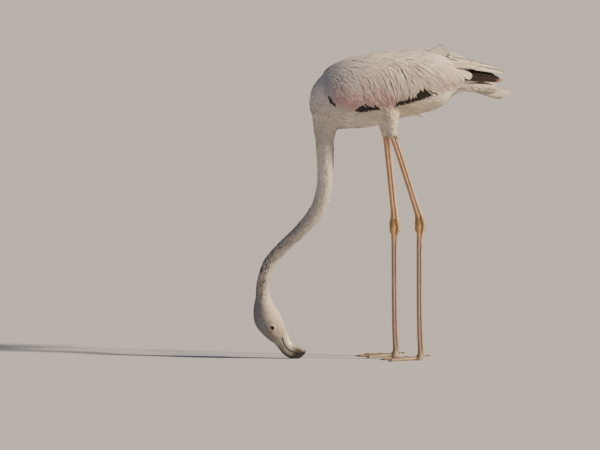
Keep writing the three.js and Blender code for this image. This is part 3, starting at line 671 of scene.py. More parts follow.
# ---- Eyes -----------------------------------------------------------------------
# Wet dark-brown eyes of a young bird: a round ball with a clear bulge in front, a
# black pupil and a ringed iris, set back between the lids.
for side, centre in eyes.items():
    out_way = -1.0 if side == "left" else 1.0
    eye = ball(f"eyeball_{side}", centre, (EYE_RADIUS,) * 3)
    for corner in eye.data.vertices:
        away = np.array(corner.co) / MM - centre
        bulge = max(0.0, away[1] * out_way / EYE_RADIUS - 0.72)
        corner.co.y += out_way * bulge * 1.9 * MM
    bpy.ops.object.shade_smooth()
    wet, tree, out = new_stuff(f"wet_eye_{side}", 0.06, 1.376, Coat_Weight=0.6, Coat_Roughness=0.03)
    place = node(tree, "ShaderNodeTexCoord")
    own = node(tree, "ShaderNodeMapping", links={"Vector": place.outputs["Object"]}, Location=tuple(-centre * MM))
    flat = node(tree, "ShaderNodeMapping", links={"Vector": own.outputs[0]}, Scale=(1.0, 0.0, 1.0))
    radius = node(tree, "ShaderNodeVectorMath", {"operation": "LENGTH"}, {0: flat.outputs[0]})
    wheel = node(tree, "ShaderNodeTexNoise", links={"Vector": own.outputs[0]}, Scale=1400.0, Detail=2.0)
    spokes = node(tree, "ShaderNodeMath", {"operation": "MULTIPLY_ADD"},
                  {0: wheel.outputs["Fac"], 2: radius.outputs["Value"]}, i1=0.0009)
    rings = node(tree, "ShaderNodeValToRGB", links={"Fac": node(
        tree, "ShaderNodeMath", {"operation": "MULTIPLY"}, {0: spokes.outputs[0]}, i1=150.0).outputs[0]})
    band = rings.color_ramp
    band.elements[0].color = (*linear("#070606"), 1)
    band.elements[0].position = 0.40
    band.elements[1].color = (*linear("#1c1410"), 1)
    band.elements[1].position = 0.82
    for stop, tint in ((0.45, "#583c24"), (0.6, "#412c1b"), (0.74, "#3a2718")):
        band.elements.new(stop).color = (*linear(tint), 1)
    tree.links.new(rings.outputs["Color"], out.inputs["Base Color"])
    eye.data.materials.append(wet)
    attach(eye, "root")
    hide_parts(f"eye_{side}")

# ---- Bill -----------------------------------------------------------------------
# Keratin over bone, bent down in the middle: a shallow lid-like upper half with slit
# nostrils, closed on the deep trough of the lower half. Grey and smooth in a young
# bird, black along the ridge and over the tip.
BILL = [  # culmen x, z, keel x, z, half width
    (-262.6, 39, -226.4, 62, 13), (-252, 27, -222.8, 47.5, 12.4), (-242, 14.5, -216.8, 38, 11.8),
    (-231, 5, -207.6, 33, 11), (-217, -0.6, -199.6, 28.8, 9.6), (-201, -0.6, -191.6, 25, 7.6),
    (-190, 6.4, -186, 21.4, 5), (-183.4, 15.4, -182.2, 18.6, 2)]
GAPE = [(-272, 84), (-243, 52.5), (-236, 35), (-224, 20.5), (-205, 13.4), (-189, 15.4), (-170, 20)]
GAPE_GAP = 0.5
NOSTRIL_AT, NOSTRIL_SIZE, NOSTRIL_SLOPE = (-241.5, 11.7, 30.5), (8.5, 2.4, 0.85), 51
bill_at = run(BILL)
gape_line = run(GAPE)(np.linspace(0, 1, 300))
BILL_GREY, BILL_PALE, BILL_BLACK = linear("#9a978f"), linear("#cfcab9"), linear("#1a1819")


def gape_share(t):
    """Where the gape crosses the section at t, as a share from culmen to keel."""
    now = bill_at(t)
    culmen, keel = now[:, :2], now[:, 2:4]
    depth = keel - culmen
    rel = gape_line[None] - culmen[:, None]
    length2 = (depth ** 2).sum(-1)
    share = (rel * depth[:, None]).sum(-1) / length2[:, None]
    off = np.abs(rel[..., 0] * depth[:, None, 1] - rel[..., 1] * depth[:, None, 0])
    return np.clip(share[np.arange(len(t)), off.argmin(1)], 0.12, 0.7), np.sqrt(length2)


def half_bill(name, upper):
    """One half of the bill, from the rim of the face to the tip."""
    t = np.concatenate([np.linspace(0.0, 0.97, 84), 0.97 + 0.03 * np.sin(np.linspace(0.2, math.pi / 2, 9))])
    share, depth = gape_share(t)
    now = bill_at(t)
    culmen, keel, half = now[:, :2], now[:, 2:4], now[:, 4]
    shrink = np.sqrt(np.clip(1 - np.clip((t - 0.94) / 0.062, 0, 1) ** 2, 0.0, 1))
    edge = (share + (-1 if upper else 1) * (GAPE_GAP / 2) / depth)[:, None]
    turn = np.linspace(0, math.pi, 41)[None, :]  # from the gape on one side to the gape on the other
    away = np.sin(turn) ** 0.8
    s = edge * (1 - away) if upper else edge + (1 - edge) * away
    around = np.sqrt(np.clip(1 - (2 * s - 1) ** 2, 0, 1))
    lip = 1 - 0.1 * np.exp(-(np.abs(s - share[:, None]) * depth[:, None] / 1.3) ** 2)
    ridge = 1 + (0.1 * hump(s, 0.16, 0.12) if upper else 0.06 * hump(s, 0.62, 0.2))
    y = half[:, None] * around * lip * ridge * np.sign(np.cos(turn)) * shrink[:, None]
    y[:, 20] = 0
    inner = np.linspace(-1, 1, 7)[None, 1:-1]  # the flat face at the gape
    y = np.concatenate([y, y[:, -1:] * -inner], axis=1)
    s = np.concatenate([s, edge + 0 * inner], axis=1)
    s = 0.5 + (s - 0.5) * (0.35 + 0.65 * shrink[:, None])
    spot = culmen[:, None] + (keel - culmen)[:, None] * s[..., None]
    rings = np.stack([spot[..., 0], y, np.maximum(spot[..., 1], 0)], -1)
    return loft(name, rings)


def off_line(p, line):
    """Distance of points from a line, both seen from the side."""
    return np.min(np.linalg.norm(p[:, None, ::2] - line[None], axis=-1), axis=1)


for name, upper in (("bill_lid", True), ("bill_trough", False)):
    half_piece = half_bill(name, upper)
    if upper:
        for out_way in (-1, 1):
            slit = ball("nostril", (0, 0, 0), NOSTRIL_SIZE)
            slit.rotation_euler = (0, deg(NOSTRIL_SLOPE), 0)
            slit.location = np.array(NOSTRIL_AT) * [1, out_way, 1] * MM
            bpy.ops.object.transform_apply(location=True, rotation=True, scale=True)
            bool_apply(half_piece, slit, "DIFFERENCE")
    p = read_rows(half_piece.data.vertices, "co").astype(float) / MM
    to_tip = ramp(p[:, 0] + 0.35 * (30 - p[:, 2]) + 4 * speckle(p, 6, 6), -220, -199)
    lines = bill_at(np.linspace(0, 1, 160))
    keel_off = off_line(p, lines[:, 2:4])
    # paler towards the keel, the side turned up to the light as the head hangs: painted light over the bill's own grey
    tone = blend(BILL_GREY, BILL_PALE, ramp(26 - keel_off, 4, 22) * (0.5 + 0.5 * speckle(p, 9, 7)))
    if upper:
        culmen_off = off_line(p, lines[:, :2])
        tone = blend(tone, BILL_BLACK, (1 - ramp(culmen_off, 2.5, 10.0)) * ramp(p[:, 0], -262, -238) * 0.94)
        tone = blend(tone, BILL_BLACK, to_tip * 0.97)
    else:  # the keel stays pale almost to the tip: painted highlight along the lit keel
        tone = blend(tone, BILL_BLACK, np.maximum(to_tip * 0.9 * (1 - 0.45 * ramp(7 - keel_off, 0, 5)),
                                                  0.95 * ramp(p[:, 0], -194, -187)))
    # painted shade: dark along the gape, in the slit between the two halves
    tone = blend(tone, BILL_BLACK, (1 - ramp(off_line(p, gape_line), 0.4, 1.6)) * 0.75)
    paint_tone(half_piece, tone)
    pick(half_piece)
    bpy.ops.object.shade_smooth_by_angle(angle=deg(40))
    if upper:  # smooth keratin with faint growth lines about 2 mm apart
        horn, tree, out = new_stuff("bill_keratin", 0.36, 1.54, Coat_Weight=0.12, Coat_Roughness=0.25)
        place = node(tree, "ShaderNodeTexCoord")
        pits = node(tree, "ShaderNodeTexNoise", links={"Vector": place.outputs["Object"]}, Scale=500.0, Detail=4.0)
        growth = node(tree, "ShaderNodeTexWave", {"bands_direction": "DIAGONAL"}, {"Vector": place.outputs["Object"]},
                      Scale=26.0, Distortion=5.0, Detail=2.0)
        layers = node(tree, "ShaderNodeMath", {"operation": "MULTIPLY_ADD"},
                      {0: growth.outputs["Fac"], 2: pits.outputs["Fac"]}, i1=0.35)
        fade = node(tree, "ShaderNodeMath", {"operation": "MULTIPLY_ADD"}, {0: layers.outputs[0]}, i1=0.26, i2=0.78)
        tinted(tree, out, fade.outputs[0], layers.outputs[0], 0.3, 0.12)
    half_piece.data.materials.clear()
    half_piece.data.materials.append(horn)
    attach(half_piece, "root")
    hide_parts("bill_upper" if upper else "bill_lower")

# ---- Claws ----------------------------------------------------------------------
# Short blunt nails of dark horn on the four toes of each foot. Each grows out of the
# skin at the toe's end and is worn flat where it meets the ground.
CLAW_RADIUS = 2.1
HIND_CLAW = (13.0, 4.5, 7.8)  # reach, length, height over the floor
claw_horn, tree, out = new_stuff("claw_horn", 0.42, 1.54)
place = node(tree, "ShaderNodeTexCoord")
streaky = node(tree, "ShaderNodeTexNoise", links={"Vector": place.outputs["Object"]}, Scale=700.0, Detail=3.0)
shades = node(tree, "ShaderNodeValToRGB", links={"Fac": streaky.outputs["Fac"]})
shades.color_ramp.elements[0].color = (*linear("#2a2320"), 1)
shades.color_ramp.elements[1].color = (*linear("#6a5a4c"), 1)
bump = node(tree, "ShaderNodeBump", links={"Height": streaky.outputs["Fac"]}, Strength=0.3, Distance=0.1 * MM)
tree.links.new(shades.outputs["Color"], out.inputs["Base Color"])
tree.links.new(bump.outputs[0], out.inputs["Normal"])
for name, (side, thigh_rows, leg_rows) in LEGS.items():
    ankle, y = leg_rows[-2][0], side * LEG_SPREAD
    roots = {toe: (math.pi - side * deg(angle), np.array([ankle - TOE_SET_FORWARD, y, 0]), length + 1.5, claw, 0.0)
             for toe, (angle, length, claw) in TOES.items()}
    roots["hind"] = (0.0, np.array([ankle + 4, y - side * HIND_SET_IN, 0]), *HIND_CLAW)
    for toe, (heading, start, reach, claw, lift) in roots.items():
        ahead, across = toe_ways(heading)
        t, size, push = (v[:, None] for v in steps(16, (0.0, 0.5), span=(-0.35, 1.0)))
        r = CLAW_RADIUS * (1 - 0.7 * np.maximum(t, 0))
        turn = full_turn(20)
        centre = start + ahead * (reach + t * claw + push * r)[..., None]
        centre = centre + UP * (lift + 2.4 - 1.6 * t * np.abs(t))[..., None]
        nail = loft(f"nail_{toe}_{name}", centre + across * (0.8 * size * r * np.cos(turn))[..., None]
                    + UP * (size * r * np.sin(turn))[..., None], True)
        nail.data.polygons.foreach_set("use_smooth", np.ones(len(nail.data.polygons), bool))
        nail.data.materials.append(claw_horn)
        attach(nail, "root")
        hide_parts(f"claw_{toe}_{name}")

# ---- Breast, back, belly and rump -----------------------------------------------
# Soft contour feathers, 11 to 34 mm long and longest on the rump, rooted close
# together in the skin. They sweep from the root of the neck over breast and belly,
# and back to the tail.
rng = np.random.default_rng(41)
TAIL = [  # root to tip: x, z, half thickness, half width; the sides droop
    (168, 662, 16, 22), (205, 658, 14, 25), (250, 654, 11, 25), (290, 646.5, 6, 20), (308, 640.5, 1.8, 12)]
TAIL_DROOP, TAIL_DROOP_WIDTH = 6, 31
RAISED_BACK = ((108, -6, 720), (44, 26, 19.5))  # before the tuft: centre, half sizes
tail_ring = along_ring(run(TAIL))
NECK_ROOT = np.array([-142.0, 0, 552.0])


def mesh_arrays(thing):
    """Corners in metres and faces of a mesh, as lists. The faces are sorted, because a
    boolean leaves them in an order that varies, and the feathers would vary with it."""
    return [v.co.copy() for v in thing.data.vertices], sorted(tuple(f.vertices) for f in thing.data.polygons)


tail_guide = loft("tail_guide", ringed(tail_ring, 2.5, 24, 28, dome=(0.1, 1.0)))
for corner in tail_guide.data.vertices:
    corner.co.z -= TAIL_DROOP * (corner.co.y / MM / TAIL_DROOP_WIDTH) ** 2 * MM
skin_corners, skin_faces = mesh_arrays(skin)
for guide in (tail_guide, ball("back_guide", *RAISED_BACK)):
    more_corners, more_faces = mesh_arrays(guide)
    skin_faces = skin_faces + [tuple(len(skin_corners) + k for k in f) for f in more_faces]
    skin_corners = skin_corners + more_corners
    bpy.data.objects.remove(guide)
skin_map = BVHTree.FromPolygons(skin_corners, skin_faces)


def nearest(points):
    """Nearest points and normals on the skin and its guides, in millimetres."""
    found = [skin_map.find_nearest(Vector(q)) for q in points * MM]
    return np.array([f[0] for f in found]) / MM, np.array([f[1] for f in found])


def lay(roots, lengths, lie, count, beyond=None, fine=13, sway=6.0):
    """March each feather over the skin along its lie, to its length or to where it
    passes beyond an edge: points and normals (feathers, count, 3) and lengths."""
    p, normal = nearest(roots)
    points, normals, stopped = [p], [normal], np.full(len(p), 1.0)
    turn = deg(sway) * rng.normal(0, 1, len(p))
    for k in range(1, fine):
        way = lie(p)
        way = unit(way - normal * (way * normal).sum(-1, keepdims=True))
        way = way * np.cos(turn)[:, None] + np.cross(normal, way) * np.sin(turn)[:, None]
        p, normal = nearest(p + way * (lengths / (fine - 1))[:, None])
        normal = unit(normal + 1.5 * normals[-1])
        points.append(p)
        normals.append(normal)
        if beyond is not None:
            stopped = np.where((stopped == 1.0) & beyond(p), k / (fine - 1), stopped)
    points, normals = np.stack(points, 1), np.stack(normals, 1)
    at = np.linspace(0, 1, count)[None, :] * stopped[:, None] * (fine - 1)
    i = np.minimum(at.astype(int), fine - 2)
    f = (at - i)[..., None]
    each = np.arange(len(p))[:, None]
    return (points[each, i] * (1 - f) + points[each, i + 1] * f,
            unit(normals[each, i] * (1 - f) + normals[each, i + 1] * f), lengths * stopped)


SOFT = ([0, 0.2, 0.6, 0.82, 0.94, 1], [0.5, 0.9, 1, 0.84, 0.6, 0.28])  # half width along a feather
BAKE_PATCH = 0.003  # height of each feather's patch on the bake map


def vanes(name, laid, widths, rise, tones, seat, cols=2, roof=0.5, outline=SOFT, ragged=0.12, tilt=0.12,
          shade=(0.8, 1.0), splits=0.0):
    """Closed, slightly roofed feathers in one mesh. rise gives the height over the
    skin along the feather; each carries its tone and its seat on the bake map."""
    points, normals = laid[:2]
    n, rows = points.shape[:2]
    ring = cols + 1
    u, v = np.linspace(0, 1, rows), np.linspace(-1, 1, ring)
    along = unit(np.gradient(points, axis=1))
    side = unit(np.cross(normals, along))
    step = np.linalg.norm(np.diff(points, axis=1), axis=-1).sum(1) / (rows - 1)
    shape = np.interp(u, *outline)
    frill = np.abs(v) * (u[:, None] > 0.25)
    wide = widths[:, None, None] * shape[:, None] * (1 + ragged * rng.uniform(-1, 1, (n, rows, ring)) * frill)
    slide = step[:, None, None] * frill * (rng.uniform(-1, 0.7, (n, rows, ring)) * ragged * 3 - 0.25)
    if splits:  # a few vanes part along their barbs
        torn = rng.random((n, rows, ring)) < splits
        wide = wide * (1 - 0.55 * torn * frill)
    high = rise(u)[None, :, None] * rng.uniform(0.82, 1.18, (n, 1, 1)) if callable(rise) else rise[..., None]
    high = high + roof * (1 - v ** 2) * shape[:, None] * rng.uniform(0.7, 1.2, (n, 1, 1))
    high = high + rng.normal(0, tilt, (n, 1, 1)) * wide * v * (0.3 + 0.7 * u[:, None])
    grid = (points[:, :, None] + side[:, :, None] * (wide * v)[..., None]
            + normals[:, :, None] * np.maximum(high, 0.05)[..., None] + along[:, :, None] * slide[..., None])
    base = (np.arange(n) * rows * ring)[:, None, None]
    r = np.arange(rows - 1)[None, :, None] * ring
    c = np.arange(ring)[None, None, :]
    m = (c + 1) % ring
    quads = np.stack([base + r + c, base + r + ring + c, base + r + ring + m, base + r + m], -1).reshape(-1, 4)
    ends = np.concatenate([base[:, 0] + np.arange(ring), base[:, 0] + (rows - 1) * ring + np.arange(ring)[::-1]])
    made = mesh_piece(name, grid.reshape(-1, 3), [quads, ends])
    data = made.data
    corner = np.empty(len(data.loops), np.int32)
    data.loops.foreach_get("vertex_index", corner)
    own = np.stack(np.broadcast_arrays(u[:, None] * (step * (rows - 1))[:, None, None], wide * v), -1).reshape(-1, 2)
    patch = np.stack(np.broadcast_arrays(v * BAKE_PATCH / 2, (u[:, None] - 0.5) * BAKE_PATCH), -1)
    patch = seat[:, None, None] + patch
    for layer, values in (("OFBake", patch.reshape(-1, 2)), ("Vane", own)):
        data.uv_layers.new(name=layer).data.foreach_set("uv", values[corner].astype(np.float32).ravel())
    tone = tones if tones.ndim == 4 else np.broadcast_to(tones[:, None, None], (n, rows, ring, 3))
    # darker at the root and lighter at the tip: partly a greyer downy base, partly painted shade where a feather lies
    # under its neighbours and painted light on its free tip
    tone = tone * np.interp(u, [0, 0.7, 1], [shade[0], 1, shade[1]])[:, None, None]
    paint_tone(made, (tone * rng.uniform(0.92, 1.05, (n, 1, 1, 1))).reshape(-1, 3))
    pick(made)
    bpy.ops.object.shade_smooth_by_angle(angle=deg(50))
    return made


def keratin(name, roughness, spacing, relief, shaft, sheen):
    """Feather keratin: matt, silky along the barbs. The barbs, really 0.3 mm apart, are
    drawn as coarse as they need to show; a fine shaft runs down the middle. Spacing and
    relief are in millimetres; shaft lightens the middle, or darkens it below 0."""
    stuff, tree, out = new_stuff(name, roughness, 1.54, Specular_IOR_Level=0.3, Sheen_Weight=sheen, Sheen_Roughness=0.5)
    vane = node(tree, "ShaderNodeUVMap", {"uv_map": "Vane"})
    cut = node(tree, "ShaderNodeSeparateXYZ", links={"Vector": vane.outputs[0]})
    across = node(tree, "ShaderNodeMath", {"operation": "ABSOLUTE"}, {0: cut.outputs["Y"]})
    slant = node(tree, "ShaderNodeMath", {"operation": "MULTIPLY_ADD"},
                 {0: across.outputs[0], 2: cut.outputs["X"]}, i1=-1.3)
    beat = node(tree, "ShaderNodeMath", {"operation": "MULTIPLY"}, {0: slant.outputs[0]}, i1=2 * math.pi / spacing)
    barbs = node(tree, "ShaderNodeMath", {"operation": "SINE"}, {0: beat.outputs[0]})
    rachis = node(tree, "ShaderNodeMapRange", links={"Value": across.outputs[0]}, From_Max=0.5, To_Min=1.0, To_Max=0.0)
    place = node(tree, "ShaderNodeTexCoord")
    cloud = node(tree, "ShaderNodeTexNoise", links={"Vector": place.outputs["Object"]}, Scale=150.0, Detail=3.0)
    lights = node(tree, "ShaderNodeMath", {"operation": "MULTIPLY_ADD"}, {0: barbs.outputs[0]}, i1=0.06, i2=0.88)
    lift = node(tree, "ShaderNodeMath", {"operation": "MULTIPLY_ADD"},
                {0: cloud.outputs["Fac"], 2: lights.outputs[0]}, i1=0.2)
    fade = node(tree, "ShaderNodeMath", {"operation": "MULTIPLY_ADD"},
                {0: rachis.outputs[0], 2: lift.outputs[0]}, i1=shaft)
    tinted(tree, out, fade.outputs[0], barbs.outputs[0], 0.4, relief)
    return stuff


contour_keratin = keratin("white_feather_keratin", 0.8, 0.9, 0.12, -0.05, 0.2)


def seats(along, around):
    """Seats on the unwrap of the skin's own shape, spread over the whole map."""
    pair = np.stack([along, around], -1)
    low, high = pair.min(0), pair.max(0)
    return 0.004 + 0.992 * (pair - low) / (high - low)


def even_shares(ring, span, spacing):
    """Shares at even steps of a loft's length, and the length walked to any share."""
    t = np.linspace(*span, 400)
    centre = ring(t)[0]
    walked = np.concatenate([[0], np.cumsum(np.linalg.norm(np.diff(centre, axis=0), axis=1))])
    even = np.interp(np.linspace(0, walked[-1], int(walked[-1] / spacing)), walked, t)
    return even, lambda s: np.interp(s, t, walked)


def rows_on(ring, t, spacing, inset=3.0, jitter=0.35):
    """Staggered rows of roots round a loft: places, shares along and turns round."""
    roots, shares, turns = [], [], []
    for k, share in enumerate(t):
        _, _, above, below, half = ring(np.array([share]))
        count = max(6, int(math.pi * ((above + below) / 2 + half)[0] / spacing))
        turn = (np.arange(count) + 0.5 * (k % 2) + rng.uniform(-jitter, jitter, count)) / count * 2 * math.pi
        place = np.clip(share + rng.uniform(-jitter, jitter, count) * (t[1] - t[0]), 0, 1)
        roots.append(surface(ring, place, turn, inset))
        shares.append(place)
        turns.append(turn / (2 * math.pi) % 1)
    return np.concatenate(roots), np.concatenate(shares), np.concatenate(turns)


def finish_coat(coat, stuff):
    """Feather stuff, body and slot of a coat."""
    coat.data.materials.append(stuff)
    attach(coat, "root")


QUILL_EDGE = np.array([  # lower edge of the black secondaries: x, z
    (-90, 606), (-60, 598.5), (-18, 603), (35, 614), (78, 624), (114, 637), (140, 652)], float)
QUILL_FRONT, QUILL_REAR, QUILL_ASIDE = -92, 142, 25


def over_quills(p, margin):
    """True where the flank is covered by the folded flight feathers."""
    above = p[:, 2] > np.interp(p[:, 0], *QUILL_EDGE.T) + margin
    return above & (p[:, 0] > QUILL_FRONT) & (p[:, 0] < QUILL_REAR) & (np.abs(p[:, 1]) > QUILL_ASIDE)


def body_lie(p):
    """Outwards from the root of the neck, then back to the tail."""
    away = unit(p - NECK_ROOT)
    near = hump(np.linalg.norm(p - NECK_ROOT, axis=-1), 0, 95)[..., None]
    return away * near + np.array([1.0, 0, -0.05]) * (1 - near)


def thin_out(p, apart):
    """Indices of places so that none stands nearer than its own spacing to another."""
    kept = np.empty((0, 3))
    chosen = []
    for k in rng.permutation(len(p)):
        if not len(kept) or ((kept - p[k]) ** 2).sum(1).min() > apart[k] ** 2:
            kept = np.vstack([kept, p[k]])
            chosen.append(k)
    return np.array(chosen)


def pass_on(which, columns):
    """The chosen rows of several arrays."""
    return [column[which] for column in columns]


CUFF_LOW, SHORTEST = 548, 9  # height of the lowest roots; feathers cut shorter are left out
roots = np.array([q[:] for q in skin_corners[:len(corners)]]) / MM
roots = roots[(roots[:, 2] > CUFF_LOW) & (rng.random(len(roots)) < 0.8)]
keep = (wing_cover(roots[:, 0], roots[:, 2]) < 0.75) & (np.linalg.norm(roots - NECK_ROOT, axis=1) > 20)
roots = roots[keep & ~over_quills(roots, -1.0)]
roots += rng.uniform(-1.2, 1.2, roots.shape)
roots = roots[thin_out(roots, np.interp(roots[:, 0], [-150, -60, 200], [3.4, 4.7, 5.2]))]
size = rng.uniform(18, 27, len(roots)) * np.interp(roots[:, 0], [-170, -120, 0, 200], [0.62, 0.72, 1.0, 1.25])
laid = lay(roots, size, body_lie, 7, lambda p: over_quills(p, 3.0))
*laid, roots, size = pass_on(laid[2] > SHORTEST, [*laid, roots, size])
body_coat = vanes("coat_body", laid, size * 0.2, 0.5 + np.linspace(0, 1, 7) ** 0.8 * (size * 0.1)[:, None],
                  markings(roots), seats(roots[:, 0], np.arctan2(roots[:, 1], roots[:, 2] - 640)), cols=4,
                  roof=0.4, tilt=0.06, splits=0.06, ragged=0.09, shade=(0.97, 1.02))
finish_coat(body_coat, contour_keratin)

# ---- Neck -----------------------------------------------------------------------
# Short close feathers, 7 to 22 mm and longest at the breast, in staggered rows round
# the neck. Their tips point to the breast, and they are streaked behind.


def to_breast(p):
    """Up the neck to the breast."""
    ahead = along_spine(p)[1]
    return np.stack([-ahead[:, 0], 0 * ahead[:, 0], -ahead[:, 1]], -1)


t, walked = even_shares(neck_ring, (0.03, NECK_ENDS), 3.1)
roots, share, around = rows_on(neck_ring, t, 3.3, 3.4)
size = rng.uniform(9, 13, len(roots)) * np.interp(share, [0, 0.15, 0.5, 1], [1.7, 1.3, 0.95, 0.75])
neck_coat = vanes("coat_neck", lay(roots, size, to_breast, 5, fine=7), size * 0.17, lambda u: 0.1 + 2.8 * u,
                  markings(roots), seats(walked(share), around), roof=0.4, tilt=0.18)
finish_coat(neck_coat, contour_keratin)

# ---- Head -----------------------------------------------------------------------
# The shortest plumage, 2 to 9 mm, from the rim of the bill back over crown and
# throat. It is shortest round the bare ring of the eye and the lores.
t, walked = even_shares(head_ring, (0.14, 1.0), 1.6)
roots, share, around = rows_on(head_ring, t, 1.75, 2.0)
roots, share, around = pass_on(bare_face(roots) < 0.25, (roots, share, around))
to_eye = np.min([np.linalg.norm(roots - c, axis=1) for c in eyes.values()], axis=0)
size = rng.uniform(4.6, 6.8, len(roots)) * np.interp(share, [0.2, 0.6, 1], [1.3, 0.95, 0.62])
size = size * np.interp(to_eye, [8, 16], [0.62, 1])
height = np.linspace(0, 1, 4)[None, :] * (size * 0.21)[:, None] + 0.05
head_coat = vanes("coat_head", lay(roots, size, to_breast, 4, fine=5), size * 0.17, height,
                  markings(roots), seats(walked(share), around), roof=0.2, tilt=0.14)
finish_coat(head_coat, contour_keratin)

# ---- Thighs ---------------------------------------------------------------------
# Soft white feathers, 7 to 22 mm long, rooted in staggered rows. They hang down the
# thigh and end in a ragged cuff above the bare shin.
CUFF_SHARE = 0.76
for name, (side, thigh_rows, leg_rows) in LEGS.items():
    thigh_ring = along_ring(run(thigh_rows), side * LEG_SPREAD)
    t, walked = even_shares(thigh_ring, (0.14, CUFF_SHARE), 3.0)
    roots, share, around = rows_on(thigh_ring, t, 3.4, 4.0)
    size = rng.uniform(12, 18, len(roots)) * np.interp(share, [0, CUFF_SHARE], [1.25, 0.6])
    way = unit(np.array([thigh_rows[-2][0] - thigh_rows[0][0], 0, thigh_rows[-2][1] - thigh_rows[0][1]], float))
    coat = vanes(f"coat_thigh_{name}", lay(roots, size, lambda p: 0 * p + way, 5, fine=7), size * 0.17,
                 lambda u: 0.1 + 2.9 * u, markings(roots), seats(walked(share), around), roof=0.4, tilt=0.25)
    finish_coat(coat, contour_keratin)

# ---- Folded wings: coverts and scapulars ------------------------------------------
# Small close feathers at the wrist, then long soft coverts that stream back along the
# top and turn down over the flank, their loose ends fringing the lower edge.
LIE_OF_WING = np.array([  # x, z, degrees the feathers point below the tail direction
    (-138, 670, 42), (-126, 646, 38), (-90, 634, 36), (-102, 706, 28), (-68, 690, 46), (-54, 665, 54),
    (-26, 656, 68), (-6, 630, 58), (16, 665, 76), (42, 648, 88), (64, 645, 84), (16, 698, 62), (62, 700, 66),
    (96, 655, 52), (121, 670, 50), (162, 690, 40), (189, 678, 44), (110, 700, 42), (-35, 709, 30),
    (16, 724, 17), (80, 727, 15), (130, 722, 16), (174, 706, 14), (210, 697, 14), (-90, 722, 14), (-30, 738, 10),
    (60, 742, 8), (140, 738, 10), (-60, 618, 44), (60, 622, 70), (150, 662, 44), (222, 686, 26)], float)
FRINGE = np.array([  # the line that the covert tips reach down to: x, z
    (-162, 658), (-147, 640), (-134, 626), (-122, 615), (-104, 603), (-84, 598), (-70, 601), (-58, 614),
    (-42, 620), (-14, 619), (0, 613), (8, 612), (22, 614), (34, 633), (55, 637), (76, 638), (84, 650),
    (98, 656), (110, 657), (117, 644), (136, 650), (160, 658), (186, 670), (196, 680), (208, 676),
    (222, 678), (231, 690), (236, 720)], float)


def wing_lie(p):
    """Direction of the wing feathers, eased between the known ones."""
    near = 1 / (((p[:, None, ::2] - LIE_OF_WING[None, :, :2]) ** 2).sum(-1) + 90) ** 1.6
    down = deg(1) * (near * LIE_OF_WING[None, :, 2]).sum(1) / near.sum(1)
    down = down + deg(34) * (speckle(p, 30.0, 7) - 0.5) * ramp(p[:, 0], -75, -20)  # they part into locks
    return np.stack([np.cos(down), 0 * down, -np.sin(down)], -1)


def wing_places(out_way, count, apart, low=0.25):
    """Scattered roots on one folded wing, with their seats."""
    t = rng.uniform(0.1, 1.0, count)
    turn = rng.uniform(-0.42, 0.5, count) * math.pi
    turn = np.where(turn > math.pi / 2, math.pi / 2, turn)
    p = surface(trunk_ring, t, turn, -0.5)
    p[:, 1] = out_way * np.abs(p[:, 1])
    keep = np.where(wing_cover(p[:, 0], p[:, 2]) > low)[0]
    return pass_on(keep[thin_out(p[keep], apart(p[keep]))], (p, t, turn))


def covert_apart(p):
    """Spacing of the coverts, closest at the wrist."""
    return np.interp(p[:, 0], [-150, -120, -60, 0, 150], [2.7, 3.2, 4.4, 5.0, 5.4]) + 0.8 * ramp(p[:, 2], 690, 720)


